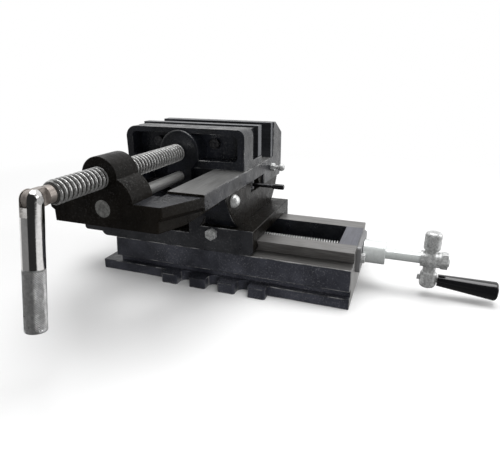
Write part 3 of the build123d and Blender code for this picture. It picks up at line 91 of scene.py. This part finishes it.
# Materials
class Nodes:
    """A node tree that is built a node at a time."""

    def __init__(self, tree):
        self.tree = tree

    def feed(self, socket, value):
        """Gives a socket a number, a colour, a direction or another node's output."""
        if isinstance(value, bpy.types.NodeSocket):
            self.tree.links.new(value, socket)
        elif isinstance(value, tuple) and len(value) < len(socket.default_value):
            socket.default_value = (*value, 1.0)
        else:
            socket.default_value = value

    def add(self, kind, output, inputs=None, **settings):
        """Adds a node with these settings and inputs, and returns one of its outputs."""
        node = self.tree.nodes.new("ShaderNode" + kind)
        for key, value in settings.items():
            setattr(node, key, value)
        for key, value in (inputs or {}).items():
            self.feed(node.inputs[key], value)
        return node.outputs[output]

    def product(self, a, b):
        return self.add("Math", 0, {0: a, 1: b}, operation="MULTIPLY")

    def ramp(self, fac, low, high, a, b, curve="LINEAR"):
        """Maps fac between low and high onto the values a to b."""
        return self.add("MapRange", "Result", {"Value": fac, "From Min": low, "From Max": high,
                                               "To Min": a, "To Max": b},
                        interpolation_type=curve)


class Paint(Nodes):
    """A material whose colour, gloss and bump come from noise in the object's coordinates."""

    def __init__(self, name, color, metallic=0.0, roughness=0.5, **sockets):
        self.mat = bpy.data.materials.new(name)
        self.mat.use_nodes = True
        super().__init__(self.mat.node_tree)
        self.bsdf = self.tree.nodes["Principled BSDF"]
        self.feed(self.bsdf.inputs["Base Color"], color)
        self.feed(self.bsdf.inputs["Metallic"], metallic)
        self.feed(self.bsdf.inputs["Roughness"], roughness)
        for key, value in sockets.items():
            self.feed(self.bsdf.inputs[key.replace("_", " ")], value)
        self.coords = self.add("TexCoord", "Object")
        self.height = None

    def noise(self, scale, detail=3.0, rough=0.5, stretch=(1, 1, 1)):
        """Noise of about scale grains to the metre, squeezed along each axis by stretch."""
        place = self.add("Mapping", "Vector", {"Vector": self.coords, "Scale": stretch})
        return self.add("TexNoise", "Fac", {"Vector": place, "Scale": scale, "Detail": detail,
                                            "Roughness": rough})

    def blend(self, fac, a, b):
        """Mixes two colours. The sockets go by number, because their names repeat."""
        return self.add("Mix", 2, {0: fac, 6: a, 7: b}, data_type="RGBA")

    def facing_up(self):
        """1 where a surface faces up, 0 on walls and -1 below."""
        return self.add("SeparateXYZ", "Z", {0: self.add("TexCoord", "Normal")})

    def color(self, value):
        self.feed(self.bsdf.inputs["Base Color"], value)

    def rough(self, fac, a, b):
        """Runs the roughness from a to b over the middle of a noise's range."""
        self.feed(self.bsdf.inputs["Roughness"], self.ramp(fac, 0.3, 0.7, a, b))

    def bump(self, fac, distance, strength):
        """Adds one more height, in metres, to those already there."""
        inputs = {"Height": fac, "Distance": distance, "Strength": strength}
        if self.height is not None:
            inputs["Normal"] = self.height
        self.height = self.add("Bump", "Normal", inputs)
        self.feed(self.bsdf.inputs["Normal"], self.height)


def enamel(name, dark, light, gloss=(0.25, 0.48), shine=0.5, edge_wear_and_highlight=None, specks=0.10):
    """Black enamel over a sand casting: blotches, pale dust, orange peel and a wavy skin."""
    p = Paint(name, light, roughness=sum(gloss) / 2, Specular_IOR_Level=shine)
    skin = p.blend(p.ramp(p.noise(35, 5), 0.35, 0.68, 0, 1), dark, light)
    patches = p.ramp(p.noise(30, 4), 0.42, 0.62, 0.25, 1)
    settled = p.product(patches, p.ramp(p.facing_up(), 0.1, 0.9, 0.45, 1))
    grains = p.ramp(p.noise(700, 4, 0.75), 0.54, 0.68, 0, 1)
    skin = p.blend(p.product(grains, settled), skin, tuple(specks + c for c in light))
    # Pale patches on the rounded edges: worn paint, and a painted highlight for the light they
    # catch
    if edge_wear_and_highlight:
        skin = p.blend(p.ramp(p.noise(75, 5, 0.6), 0.44, 0.62, 0, 1), skin, edge_wear_and_highlight)
    p.color(skin)
    p.rough(p.noise(90, 4), *gloss)
    p.bump(p.noise(55, 2), 0.0012, 0.5)
    p.bump(p.noise(300, 4, 0.6), 0.0005, 0.7)
    p.bump(p.noise(1300, 2), 0.0001, 0.6)
    return p.mat


def machined(name, stretch, tint, dark, metallic=0.75, gloss=(0.30, 0.46)):
    """Cut or ground iron: streaks along the cut and a few dull patches."""
    p = Paint(name, tint, metallic=metallic, roughness=sum(gloss) / 2)
    streaks = p.ramp(p.noise(45, 4, 0.6, stretch), 0.3, 0.7, 0, 1)
    stain = p.noise(24, 5, 0.6)
    p.color(p.blend(p.ramp(stain, 0.45, 0.75, 0, 0.55), p.blend(streaks, dark, tint), dark))
    p.rough(stain, *gloss)
    p.bump(p.noise(160, 3, 0.6, stretch), 0.00006, 0.5)
    return p.mat


def plated(name, tint, gloss, speckle, metallic=1.0):
    """Bright plating over steel, mottled where the metal under it is cast or dull."""
    p = Paint(name, tint, metallic=metallic, roughness=sum(gloss) / 2)
    dark = tuple(c * (1 - speckle) for c in tint)
    p.color(p.blend(p.ramp(p.noise(420, 5, 0.7), 0.38, 0.66, 0, 1), dark, tint))
    p.rough(p.noise(120, 4), *gloss)
    p.bump(p.noise(700, 3), 0.00012, 0.5 * speckle + 0.1)
    return p.mat


def oxide():
    p = Paint("black_oxide", (0.09, 0.09, 0.095), metallic=1.0, roughness=0.4)
    mottle = p.ramp(p.noise(500, 4), 0.35, 0.7, 0, 1)
    p.color(p.blend(mottle, (0.05, 0.05, 0.055), (0.17, 0.17, 0.175)))
    p.rough(p.noise(300, 3), 0.32, 0.52)
    return p.mat


def bronze():
    p = Paint("nut_bronze", (0.45, 0.31, 0.14), metallic=1.0, roughness=0.42)
    mottle = p.ramp(p.noise(180, 4), 0.35, 0.7, 0, 1)
    p.color(p.blend(mottle, (0.30, 0.20, 0.09), (0.50, 0.36, 0.17)))
    p.bump(p.noise(600, 3), 0.0001, 0.4)
    return p.mat


def plastic():
    p = Paint("black_plastic", (0.006, 0.006, 0.007), roughness=0.14,
              Coat_Weight=0.4, Coat_Roughness=0.08)
    p.rough(p.noise(60, 3), 0.10, 0.20)
    p.bump(p.noise(900, 2), 0.00003, 0.3)
    return p.mat


# How noise is squeezed, for streaks that run along X, along Y or across X
ALONG_X = (1, 14, 14)
ALONG_Y = (14, 1, 14)
ACROSS_X = (14, 1, 1)

CAST = enamel("cast_black", (0.003, 0.0035, 0.005), (0.013, 0.0145, 0.020), (0.22, 0.45))
# Painted light: a lighter grey copy of the black enamel for the saddle's front faces, where the
# light falls
LIT_SADDLE_FRONT = enamel("cast_black_lit_front", (0.013, 0.0135, 0.016), (0.031, 0.032, 0.036), specks=0.14)
SLATE = enamel("cast_slate", (0.015, 0.016, 0.022), (0.050, 0.052, 0.066), (0.28, 0.50),
               specks=0.28)
# Painted shade: a darker copy of the black enamel with less shine, for the nose, the body's
# right flank, the lever pocket and the saddle's sides, which lie in shade or mirror the dark
# body
SHADE_ENAMEL = enamel("cast_black_shade", (0.003, 0.0025, 0.002), (0.009, 0.0075, 0.006), (0.20, 0.42),
              shine=0.10, specks=0.06)
# Painted highlight with wear: a lighter enamel with pale patches for the castings' rounded edges
EDGE_WEAR_AND_HIGHLIGHT = enamel("cast_edge_wear_and_highlight", (0.016, 0.017, 0.020), (0.040, 0.041, 0.045), (0.22, 0.38),
              edge_wear_and_highlight=(0.24, 0.24, 0.24))
# Painted shade: dark enamel for the deep faces of the threads' roots
ROOT_SHADE = enamel("thread_root_shade", (0.010, 0.009, 0.008), (0.040, 0.038, 0.036), (0.25, 0.40))
WAYS = machined("machined_ways", ALONG_X, (0.27, 0.265, 0.26), (0.16, 0.155, 0.15))
# Painted shade: a darker, duller copy of the machined ways for the undercut dovetail flanks
SHADED_FLANKS = machined("shaded_flanks", ALONG_X, (0.17, 0.165, 0.16), (0.06, 0.057, 0.055), 0.3)
BRIDGE = machined("milled_bridge", ACROSS_X, (0.145, 0.148, 0.175), (0.10, 0.103, 0.12))
BED = machined("ground_bed", ALONG_Y, (0.23, 0.23, 0.228), (0.13, 0.13, 0.128), 0.45,
               (0.4, 0.55))
PLATE = machined("end_plate_steel", ACROSS_X, (0.30, 0.30, 0.305), (0.20, 0.20, 0.205), 0.5,
                 (0.4, 0.55))
GROUND = machined("ground_rod", ALONG_Y, (0.68, 0.68, 0.67), (0.50, 0.50, 0.49), 0.7,
                  (0.25, 0.4))
RAW = machined("raw_neck", ALONG_Y, (0.42, 0.38, 0.35), (0.24, 0.21, 0.19), 0.7, (0.3, 0.5))
JAW = machined("jaw_steel", ALONG_X, (0.13, 0.135, 0.15), (0.07, 0.073, 0.082), 0.9,
               (0.28, 0.42))
ROD_END = plated("rod_end", (0.26, 0.26, 0.25), (0.4, 0.6), 0.6, 0.4)
ZINC = plated("zinc_plate", (0.84, 0.85, 0.845), (0.28, 0.46), 0.52, 0.6)
SATIN = plated("satin_zinc", (0.84, 0.87, 0.86), (0.32, 0.42), 0.12, 0.5)
CHROME = plated("chrome_plate", (0.76, 0.75, 0.74), (0.09, 0.15), 0.10)
THREAD = plated("thread_chrome", (0.78, 0.78, 0.77), (0.26, 0.40), 0.48, 0.85)
KNURL = plated("knurled_chrome", (0.68, 0.68, 0.68), (0.26, 0.36), 0.35, 0.9)
OXIDE = oxide()
BRONZE = bronze()
PLASTIC = plastic()


# Mesh helpers
SAME_PLACE = 2e-6
FLAT_ANGLE = math.radians(0.8)
NEEDLE_ANGLE = math.radians(9)
ROUNDED_ANGLE = math.radians(28)
SMOOTH_ANGLE = math.radians(32)


def new_mesh(name, bm):
    mesh = bpy.data.meshes.new(name)
    bm.to_mesh(mesh)
    bm.free()
    return link(bpy.data.objects.new(name, mesh))


def cad_mesh(node):
    """A clean copy of a solid's mesh, with its flat faces joined up."""
    bm = bmesh.new()
    bm.from_mesh(frame["nodes"][node].data)
    bmesh.ops.remove_doubles(bm, verts=bm.verts, dist=SAME_PLACE)
    bmesh.ops.dissolve_limit(bm, angle_limit=FLAT_ANGLE, verts=bm.verts, edges=bm.edges)
    return bm


def outer_edges(bm, shortest):
    """The long sharp edges that stick out, but for those that end in a needle-thin corner."""
    needles = set()
    for face in bm.faces:
        for corner in face.loops:
            if corner.calc_angle() < NEEDLE_ANGLE:
                needles.update((corner.edge, corner.link_loop_prev.edge))
    return [e for e in bm.edges
            if e.is_convex and e.calc_length() > shortest and e not in needles
            and e.calc_face_angle(0) > ROUNDED_ANGLE]


def round_edges(bm, width, shortest, material=-1):
    """Rounds the outer edges, as casting, grinding and use leave them. Sizes in millimetres."""
    bmesh.ops.bevel(bm, geom=outer_edges(bm, shortest * MM), offset=width * MM,
                    offset_type="OFFSET", segments=3, profile=0.5, affect="EDGES",
                    clamp_overlap=False, material=material)


def shade(obj):
    """Smooth shading, kept hard at the edges that are still sharp."""
    bm = bmesh.new()
    bm.from_mesh(obj.data)
    for f in bm.faces:
        f.smooth = True
    for e in bm.edges:
        e.smooth = len(e.link_faces) == 2 and e.calc_face_angle(0) <= SMOOTH_ANGLE
    bm.to_mesh(obj.data)
    bm.free()
    obj.modifiers.new("weighted", "WEIGHTED_NORMAL").keep_sharp = True


def body_name(node):
    for name, nodes in frame["record"]["behaviour"]["bodies"].items():
        if node in nodes:
            return name
    return None


def dress(obj, node, *mats):
    """Gives a piece its materials, and puts it in its solid's place."""
    for mat in mats:
        obj.data.materials.append(mat)
    shade(obj)
    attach(obj, body_name(node))
    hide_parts(node)
    return obj


def softened(node, width, *mats, shortest=3.0, pick=None):
    """A solid's own shape with its edges rounded by a width, unless they are too short.

    Where pick is given, it names each face's material from its middle and normal.
    """
    bm = cad_mesh(node)
    if width:
        round_edges(bm, width, shortest)
    if pick:
        for face in bm.faces:
            face.material_index = mats.index(pick(face.calc_center_median() / MM, face.normal))
    return dress(new_mesh(node + "_finish", bm), node, *mats)


def grid_surface(bm, rings):
    """Joins rings of points into a skin, and closes both of its ends."""
    rings = [[bm.verts.new(p) for p in ring] for ring in rings]
    count = len(rings[0])
    for a, b in zip(rings, rings[1:]):
        for i in range(count):
            j = (i + 1) % count
            bm.faces.new((a[i], a[j], b[j], b[i]))
    bm.faces.new(list(reversed(rings[0])))
    bm.faces.new(rings[-1])


def turned(place, levels, radius_at, segments):
    """Rings round a bar whose radius depends on the way along and round it."""
    rings = []
    for s in levels:
        ring = []
        for i in range(segments):
            a = 2 * math.pi * i / segments
            r = radius_at(s, a)
            ring.append(place @ Vector((r * math.cos(a) * MM, r * math.sin(a) * MM, s * MM)))
        rings.append(ring)
    return rings


def steps(start, end, step):
    count = max(1, round((end - start) / step))
    return [start + (end - start) * i / count for i in range(count + 1)]


def frame_along(direction, origin):
    """A matrix whose Z axis runs along direction from origin, in millimetres."""
    quat = Vector(direction).to_track_quat("Z", "Y")
    return Matrix.Translation(Vector(origin) * MM) @ quat.to_matrix().to_4x4()


def unit(axis):
    vector = Vector((0, 0, 0))
    vector[axis] = 1
    return vector


def slice_mesh(bm, point, normal, **cleared):
    """Cuts every face along a plane. Where one side is cleared, the cut is closed."""
    cut = bmesh.ops.bisect_plane(bm, geom=bm.verts[:] + bm.edges[:] + bm.faces[:],
                                 plane_co=point, plane_no=normal, **cleared)
    if cleared:
        edges = [g for g in cut["geom_cut"] if isinstance(g, bmesh.types.BMEdge)]
        bmesh.ops.edgeloop_fill(bm, edges=edges)


def cut_away(bm, axis, low, high):
    """Removes what lies between two planes across an axis, in millimetres."""
    beyond = bm.copy()
    slice_mesh(bm, unit(axis) * (low * MM), unit(axis), clear_outer=True)
    slice_mesh(beyond, unit(axis) * (high * MM), unit(axis), clear_inner=True)
    mesh = bpy.data.meshes.new("beyond")
    beyond.to_mesh(mesh)
    beyond.free()
    bm.from_mesh(mesh)
    bpy.data.meshes.remove(mesh)


# Castings
SHORTEST_CAST_EDGE = 1.5


def casting(node, width, pick, cuts, *mats):
    """A casting. Each face takes the material that pick names from its middle and normal.

    The first material is the enamel that most of it wears, and the last is a lighter enamel
    on the rounded edges of that enamel, a painted highlight with worn patches. Each cut is an
    axis and the place of a plane where a painted and a bare stretch of one face meet.
    """
    bm = cad_mesh(node)
    for axis, place in cuts:
        slice_mesh(bm, unit(axis) * place * MM, unit(axis))
    edge_wear_and_highlight = len(mats) - 1
    round_edges(bm, width, SHORTEST_CAST_EDGE, edge_wear_and_highlight)
    for face in bm.faces:
        kind = mats.index(pick(face.calc_center_median() / MM, face.normal))
        # The rounded edges keep the painted highlight only where they border the main enamel
        if kind != 0 or face.material_index != edge_wear_and_highlight:
            face.material_index = kind
    return dress(new_mesh(node + "_finish", bm), node, *mats)


def base_face(c, n):
    """Bare ways with flanks darkened as painted shade, black enamel in the trough as painted
    shade, a milled bridge past it, and enamel below.
    """
    beside_trough = abs(c.y) > TROUGH_HALF + SLACK or c.x > TROUGH_END + SLACK
    # Painted shade: the trough's walls and floor take the black enamel, darker than the slate
    # round them
    if c.z > TROUGH_FLOOR - SLACK and not beside_trough:
        return CAST
    if c.z < SHOULDER - SLACK:
        return WAYS if n.x > SQUARELY and c.x > FOOT_END - SLACK else SLATE
    if n.z >= FACING and c.x > TROUGH_END and abs(c.y) < TROUGH_HALF:
        return BRIDGE
    # Painted shade on the undercut flanks of the ways
    if n.z < FACING and abs(n.y) > FACING:
        return SHADED_FLANKS
    return WAYS if n.z >= FACING or n.x > SQUARELY else SLATE


def saddle_face(c, n):
    """Lighter enamel on the front as painted light, darker enamel with less shine as painted
    shade elsewhere, and bare ways above and below.
    """
    if c.z < SADDLE_BOTTOM + SLACK and n.z < -FACING:
        return WAYS
    # Painted light on the front faces below the top; painted shade on the front ends above it
    # and on the other painted faces
    if n.y < -FACING:
        return SHADE_ENAMEL if c.z > SADDLE_TOP + SLACK else LIT_SADDLE_FRONT
    return WAYS if c.z > SADDLE_TOP + SLACK else SHADE_ENAMEL


def vise_face(c, n):
    """A ground bed, darker enamel with less shine as painted shade on the nose, the right
    flank and the lever pocket, and black enamel elsewhere.
    """
    if n.z > FACING and abs(c.z - BED_TOP) < SLACK and c.y > TAPER_START + SLACK:
        return BED
    in_slot = abs(c.x - VISE_X) < BODY_SLOT_HALF and c.z < SADDLE_WAY_TOP + MARGIN
    if in_slot and abs(n.y) < FACING:
        return BED
    in_pocket = all(low < value < high for value, (low, high) in zip(c, LEVER_POCKET))
    on_flank = n.x > FACING and c.z < FLANGE_BOTTOM - MARGIN
    on_flat = n.z > SQUARELY and c.z < NOSE_TOP + SLACK
    on_nose = c.y < TAPER_START + MARGIN and not on_flat
    # Painted shade on the nose, on the right flank below the flange and in the lever pocket
    return SHADE_ENAMEL if on_nose or on_flank or in_pocket else CAST


def jaw_face(c, n):
    """Bare below, where the movable jaw slides on the bed."""
    return BED if n.z < -SQUARELY and c.z < BED_TOP + MARGIN else CAST


casting("base_casting", 0.7, base_face,
        ((Y_AXIS, -TROUGH_HALF), (Y_AXIS, TROUGH_HALF), (X_AXIS, TROUGH_END)),
        SLATE, WAYS, SHADED_FLANKS, BRIDGE, CAST, EDGE_WEAR_AND_HIGHLIGHT)
casting("saddle_casting", 0.8, saddle_face, (), LIT_SADDLE_FRONT, WAYS, SHADE_ENAMEL, EDGE_WEAR_AND_HIGHLIGHT)
casting("vise_body", 0.8, vise_face, (), CAST, BED, SHADE_ENAMEL, EDGE_WEAR_AND_HIGHLIGHT)
casting("movable_jaw", 0.8, jaw_face, (), CAST, BED, EDGE_WEAR_AND_HIGHLIGHT)


# Plates, gibs, nuts, screws and levers
for node in ("fixed_jaw_plate", "movable_jaw_plate"):
    softened(node, 0.5, JAW)
for node in ("x_end_plate", "y_end_plate"):
    softened(node, 0.4, PLATE)
for node in ("x_gib", "y_gib", "jaw_keeper_plates"):
    softened(node, 0.3, WAYS)
for node in ("x_drive_nut", "y_drive_nut"):
    softened(node, 0.5, BRONZE)
for node in ("x_end_plate_bolts", "y_end_plate_bolts", "x_crank_nut", "y_crank_nut"):
    softened(node, 0.45, ZINC)
for node in ("x_gib_nuts", "y_gib_nuts"):
    softened(node, 0.3, OXIDE)
for node in ("saddle_front_bolt", "side_stud_nut"):
    softened(node, 0.4, ZINC)
for node in ("x_collar", "y_collar"):
    softened(node, 0.5, SATIN, shortest=0.4)
softened("guide_rod", 0, GROUND, ROD_END,
         pick=lambda c, n: ROD_END if n.y < -FACING else GROUND)
for node in ("x_crank_lever", "y_crank_lever", "x_handle_bolt", "y_handle_bolt", "side_stud",
             "side_cap_bolt"):
    softened(node, 0, ZINC)
for node in ("x_handle_grip", "y_handle_grip", "lock_lever_tip"):
    softened(node, 0, PLASTIC)
for node in ("x_gib_screws", "y_gib_screws", "x_drive_nut_screws", "y_drive_nut_screws",
             "fixed_jaw_screws", "movable_jaw_screws", "jaw_keeper_screws", "lock_lever"):
    softened(node, 0, OXIDE)
softened("screw_retainer", 0, GROUND)
softened("handle_pin", 0, CHROME)


# Threaded screws
CREST_FLAT = 0.4
# How far into the thread's depth the painted shade of the roots begins
SHADED_ROOT_DEPTH = 0.6
STEPS_PER_TURN = 16
END_CHAMFER = 0.4
END_GAP = 0.02
JAW_SCREW = {"crest": 8.0, "depth": 1.5, "lead": 4.0, "segments": 48}
LEAD_SCREW = {"crest": 6.0, "depth": 1.5, "lead": 2.54, "segments": 32}


def thread_radius(crest, depth, lead):
    """A right-hand thread with narrow flats at its crest and root."""
    def radius(s, a):
        phase = (s / lead - a / (2 * math.pi)) % 1.0
        wave = abs(2 * phase - 1)
        return crest - depth * min(max((wave - CREST_FLAT / 2) / (1 - CREST_FLAT), 0), 1)
    return radius


def threaded(node, axis, span, place, thread, *mats, gap=0.0):
    """A screw with a thread over a span of an axis, in millimetres.

    The materials are for the thread's crests, its roots and the plain parts. The gap lies
    between the thread and the plain parts.
    """
    bm = cad_mesh(node)
    start, end = span
    cut_away(bm, axis, start - gap, end + gap)
    plain = set(bm.faces)
    crest, depth, lead = thread["crest"], thread["depth"], thread["lead"]
    radius = thread_radius(crest, depth, lead)
    chamfer = depth + END_CHAMFER

    def chamfered(s, a):
        return min(radius(s, a), crest - chamfer + min(s - start, end - s, chamfer))

    levels = steps(start, end, lead / STEPS_PER_TURN)
    grid_surface(bm, turned(place, levels, chamfered, thread["segments"]))
    bmesh.ops.recalc_face_normals(bm, faces=bm.faces)
    inward = place.inverted()
    crests, roots, plain_parts = range(3)
    for face in bm.faces:
        local = inward @ face.calc_center_median() / MM
        if face in plain:
            face.material_index = plain_parts
        # Painted shade on the faces deep in the roots
        elif math.hypot(local.x, local.y) < crest - SHADED_ROOT_DEPTH * depth:
            face.material_index = roots
        else:
            face.material_index = crests
    return dress(new_mesh(node + "_thread", bm), node, *mats)


threaded("main_screw", Y_AXIS, MAIN_THREAD, frame_along((0, 1, 0), (VISE_X, 0, MAIN_SCREW_Z)),
         JAW_SCREW, THREAD, ROOT_SHADE, RAW, gap=END_GAP)
threaded("x_lead_screw", X_AXIS, X_THREAD, frame_along((1, 0, 0), (0, 0, X_SCREW_Z)),
         LEAD_SCREW, ZINC, ROOT_SHADE, SATIN)
threaded("y_lead_screw", Y_AXIS, Y_THREAD, frame_along((0, 1, 0), (VISE_X, 0, Y_SCREW_Z)),
         LEAD_SCREW, ZINC, ROOT_SHADE, SATIN)


# The folding handle, in millimetres up its own bar from the pivot
KNURL_TOP = -41.0
KNURL_MARGIN = 0.4
PLAIN_END = 1.8
KNURL_BOTTOM = PLAIN_END - HANDLE_LENGTH
KNURL_STARTS = 30
KNURL_PITCH = 1.42
KNURL_DEPTH = 0.85
KNURL_GROOVE = 0.42
KNURL_FADE = 0.8
KNURL_STEP = 0.24
END_STEP = 0.2
KNURL_SEGMENTS = 180


def knurl_radius(s, a):
    """Two crossing sets of grooves, which fade out above and below, and a rounded end."""
    along = (s - KNURL_TOP) / KNURL_PITCH
    across = KNURL_STARTS * a / (2 * math.pi)
    nearest = min(abs((along + across) % 1 - 0.5), abs((along - across) % 1 - 0.5))
    fade = min(1.0, (KNURL_TOP - KNURL_MARGIN - s) / KNURL_FADE, (s - KNURL_BOTTOM) / KNURL_FADE)
    groove = max(fade, 0) * KNURL_DEPTH * max(0, KNURL_GROOVE - nearest)
    turn = min(max((HANDLE_END_ROUND - HANDLE_LENGTH - s) / HANDLE_END_ROUND, 0.0), 1.0)
    lip = HANDLE_END_ROUND * (1 - math.sqrt(max(0.0, 1 - turn * turn)))
    return HANDLE_RADIUS - lip - groove


def knurled_handle():
    """The bar, plain above and knurled over its lower half."""
    bm = cad_mesh("handle_bar")
    place = (Matrix.Translation(Vector((VISE_X, PIVOT_Y, MAIN_SCREW_Z)) * MM)
             @ Matrix.Rotation(-HANDLE_HANG, 4, "X"))
    down = place.to_3x3() @ Vector((0, 0, -1))
    slice_mesh(bm, place @ Vector((0, 0, KNURL_TOP * MM)), down, clear_outer=True)
    top = KNURL_TOP - END_GAP
    levels = steps(-HANDLE_LENGTH, KNURL_BOTTOM, END_STEP)[:-1]
    levels += steps(KNURL_BOTTOM, top, KNURL_STEP)
    grid_surface(bm, turned(place, levels, knurl_radius, KNURL_SEGMENTS))
    bmesh.ops.recalc_face_normals(bm, faces=bm.faces)
    upward = place.inverted()
    for face in bm.faces:
        if (upward @ face.calc_center_median()).z < top * MM:
            face.material_index = 1
    return dress(new_mesh("handle_bar_knurl", bm), "handle_bar", CHROME, KNURL)


knurled_handle()


# Floor, in metres
FLOOR_REACH = 30
PAPER_REACH = (0.32, 0.75)


def floor_material():
    """White paper round the object, running into a plain white glow farther out."""
    p = Paint("studio_floor", (0.90, 0.90, 0.90), roughness=0.9, Specular_IOR_Level=0.0)
    away = p.add("VectorMath", "Value", {0: p.coords}, operation="LENGTH")
    mixed = p.add("MixShader", 0, {0: p.ramp(away, *PAPER_REACH, 0, 1)})
    p.feed(mixed.node.inputs[1], p.bsdf.outputs[0])
    p.feed(mixed.node.inputs[2], p.add("Emission", 0))
    p.feed(p.tree.nodes["Material Output"].inputs["Surface"], mixed)
    return p.mat


floor_mesh = bmesh.new()
bmesh.ops.create_grid(floor_mesh, x_segments=1, y_segments=1, size=FLOOR_REACH)
floor = new_mesh("floor", floor_mesh)
floor.data.materials.append(floor_material())
floor.visible_glossy = False
floor.visible_diffuse = False


# Light, and the directions it goes by. FORWARD is the way the camera looks, along the ground.
UP = (0.0, 0.0, 1.0)
DOWN = (0.0, 0.0, -1.0)
FORWARD = (-0.349, 0.937, 0.0)

# How far a ray has turned towards FORWARD or UP where each change of brightness begins and
# ends: along the walls, from the mirrored floor to the walls, and about the horizon
WALL_BLEND = (-0.45, 0.35)
FLOOR_BLEND = (-0.58, -0.38)
HORIZON_BLEND = (-0.25, 0.15)

# Brightness below the horizon: what shiny surfaces mirror, and what lights the rest
MIRRORED_FLOOR = 0.10
LIGHT_FROM_BELOW = 0.05

# Two windows in the mirrored room: direction, top and bottom as the sine of the angle below
# the horizon, and brightness
WINDOWS = (
    ((-0.57, -0.82, 0.0), -0.03, 0.27, 0.25),
    ((0.956, 0.295, 0.0), 0.12, 0.45, 0.95),
)
WINDOW_SIDES = (0.76, 0.82)
WINDOW_TOP_BLUR = 0.05
WINDOW_BOTTOM_BLUR = 0.03


def world_light(level, dark, bright):
    """White to the eye, even light from above, and a room for shiny surfaces to mirror.

    The room is dark on the camera's side and bright behind the object.
    """
    world = bpy.data.worlds.new("studio")
    bpy.context.scene.world = world
    world.use_nodes = True
    w = Nodes(world.node_tree)
    ray = w.add("TexCoord", "Generated")
    path = w.add("LightPath", 0).node.outputs

    def towards(direction, low, high, a=0.0, b=1.0):
        """Runs from a to b as a ray turns towards a direction."""
        dot = w.add("VectorMath", "Value", {0: ray, 1: direction}, operation="DOT_PRODUCT")
        return w.ramp(dot, low, high, a, b, "SMOOTHSTEP")

    def choice(fac, low, high):
        return w.add("Mix", 0, {0: fac, 2: low, 3: high})

    walls = towards(FORWARD, *WALL_BLEND, dark, bright)
    room = choice(towards(UP, *FLOOR_BLEND), MIRRORED_FLOOR, walls)
    for direction, top, bottom, glow in WINDOWS:
        below = towards(DOWN, top, top + WINDOW_TOP_BLUR)
        over = towards(UP, -bottom, WINDOW_BOTTOM_BLUR - bottom)
        across = towards(direction, *WINDOW_SIDES)
        room = choice(w.product(across, w.product(below, over)), room, glow)
    ambient = choice(towards(UP, *HORIZON_BLEND), LIGHT_FROM_BELOW, level)
    strength = choice(path["Is Glossy Ray"], ambient, room)
    for kind in ("Is Camera Ray", "Is Transmission Ray"):
        strength = choice(path[kind], strength, 1.0)
    back = w.tree.nodes["Background"]
    w.feed(back.inputs["Color"], (1, 1, 1, 1))
    w.feed(back.inputs["Strength"], strength)


def area(name, size, power, place, target):
    data = bpy.data.lights.new(name, "AREA")
    data.shape = "RECTANGLE"
    data.size, data.size_y = size
    data.energy = power
    obj = link(bpy.data.objects.new(name, data))
    obj.location = place
    obj.rotation_euler = (Vector(target) - Vector(place)).to_track_quat("-Z", "Y").to_euler()
    return obj


world_light(level=0.50, dark=0.025, bright=0.95)
area("top_light", size=(1.2, 0.9), power=15, place=(0.15, 0.15, 1.4), target=(0, 0, 0.05))
area("right_light", size=(0.7, 0.9), power=6, place=(1.3, 0.3, 0.5), target=(0, 0, 0.08))
fill = area("fill_light", size=(0.3, 0.2), power=3, place=(0.45, -0.75, 0.14),
            target=(0.05, 0, 0.05))
fill.visible_glossy = False


# Camera, at the photo's angle
CAMERA_PLACE = (0.1619, -0.3927, 0.1934)
CAMERA_TILT = math.radians(70.7)
CAMERA_TURN = math.radians(20.4)
SENSOR_WIDTH = 36
FOCAL_LENGTH = 31.01

camera = bpy.data.cameras.new("camera")
camera.sensor_width = SENSOR_WIDTH
camera.lens = FOCAL_LENGTH
camera.clip_start = 0.01
camera.clip_end = 200
view = link(bpy.data.objects.new("camera", camera))
view.location = CAMERA_PLACE
view.rotation_euler = (CAMERA_TILT, 0, CAMERA_TURN)
bpy.context.scene.camera = view
bpy.context.scene.view_settings.view_transform = "Standard"
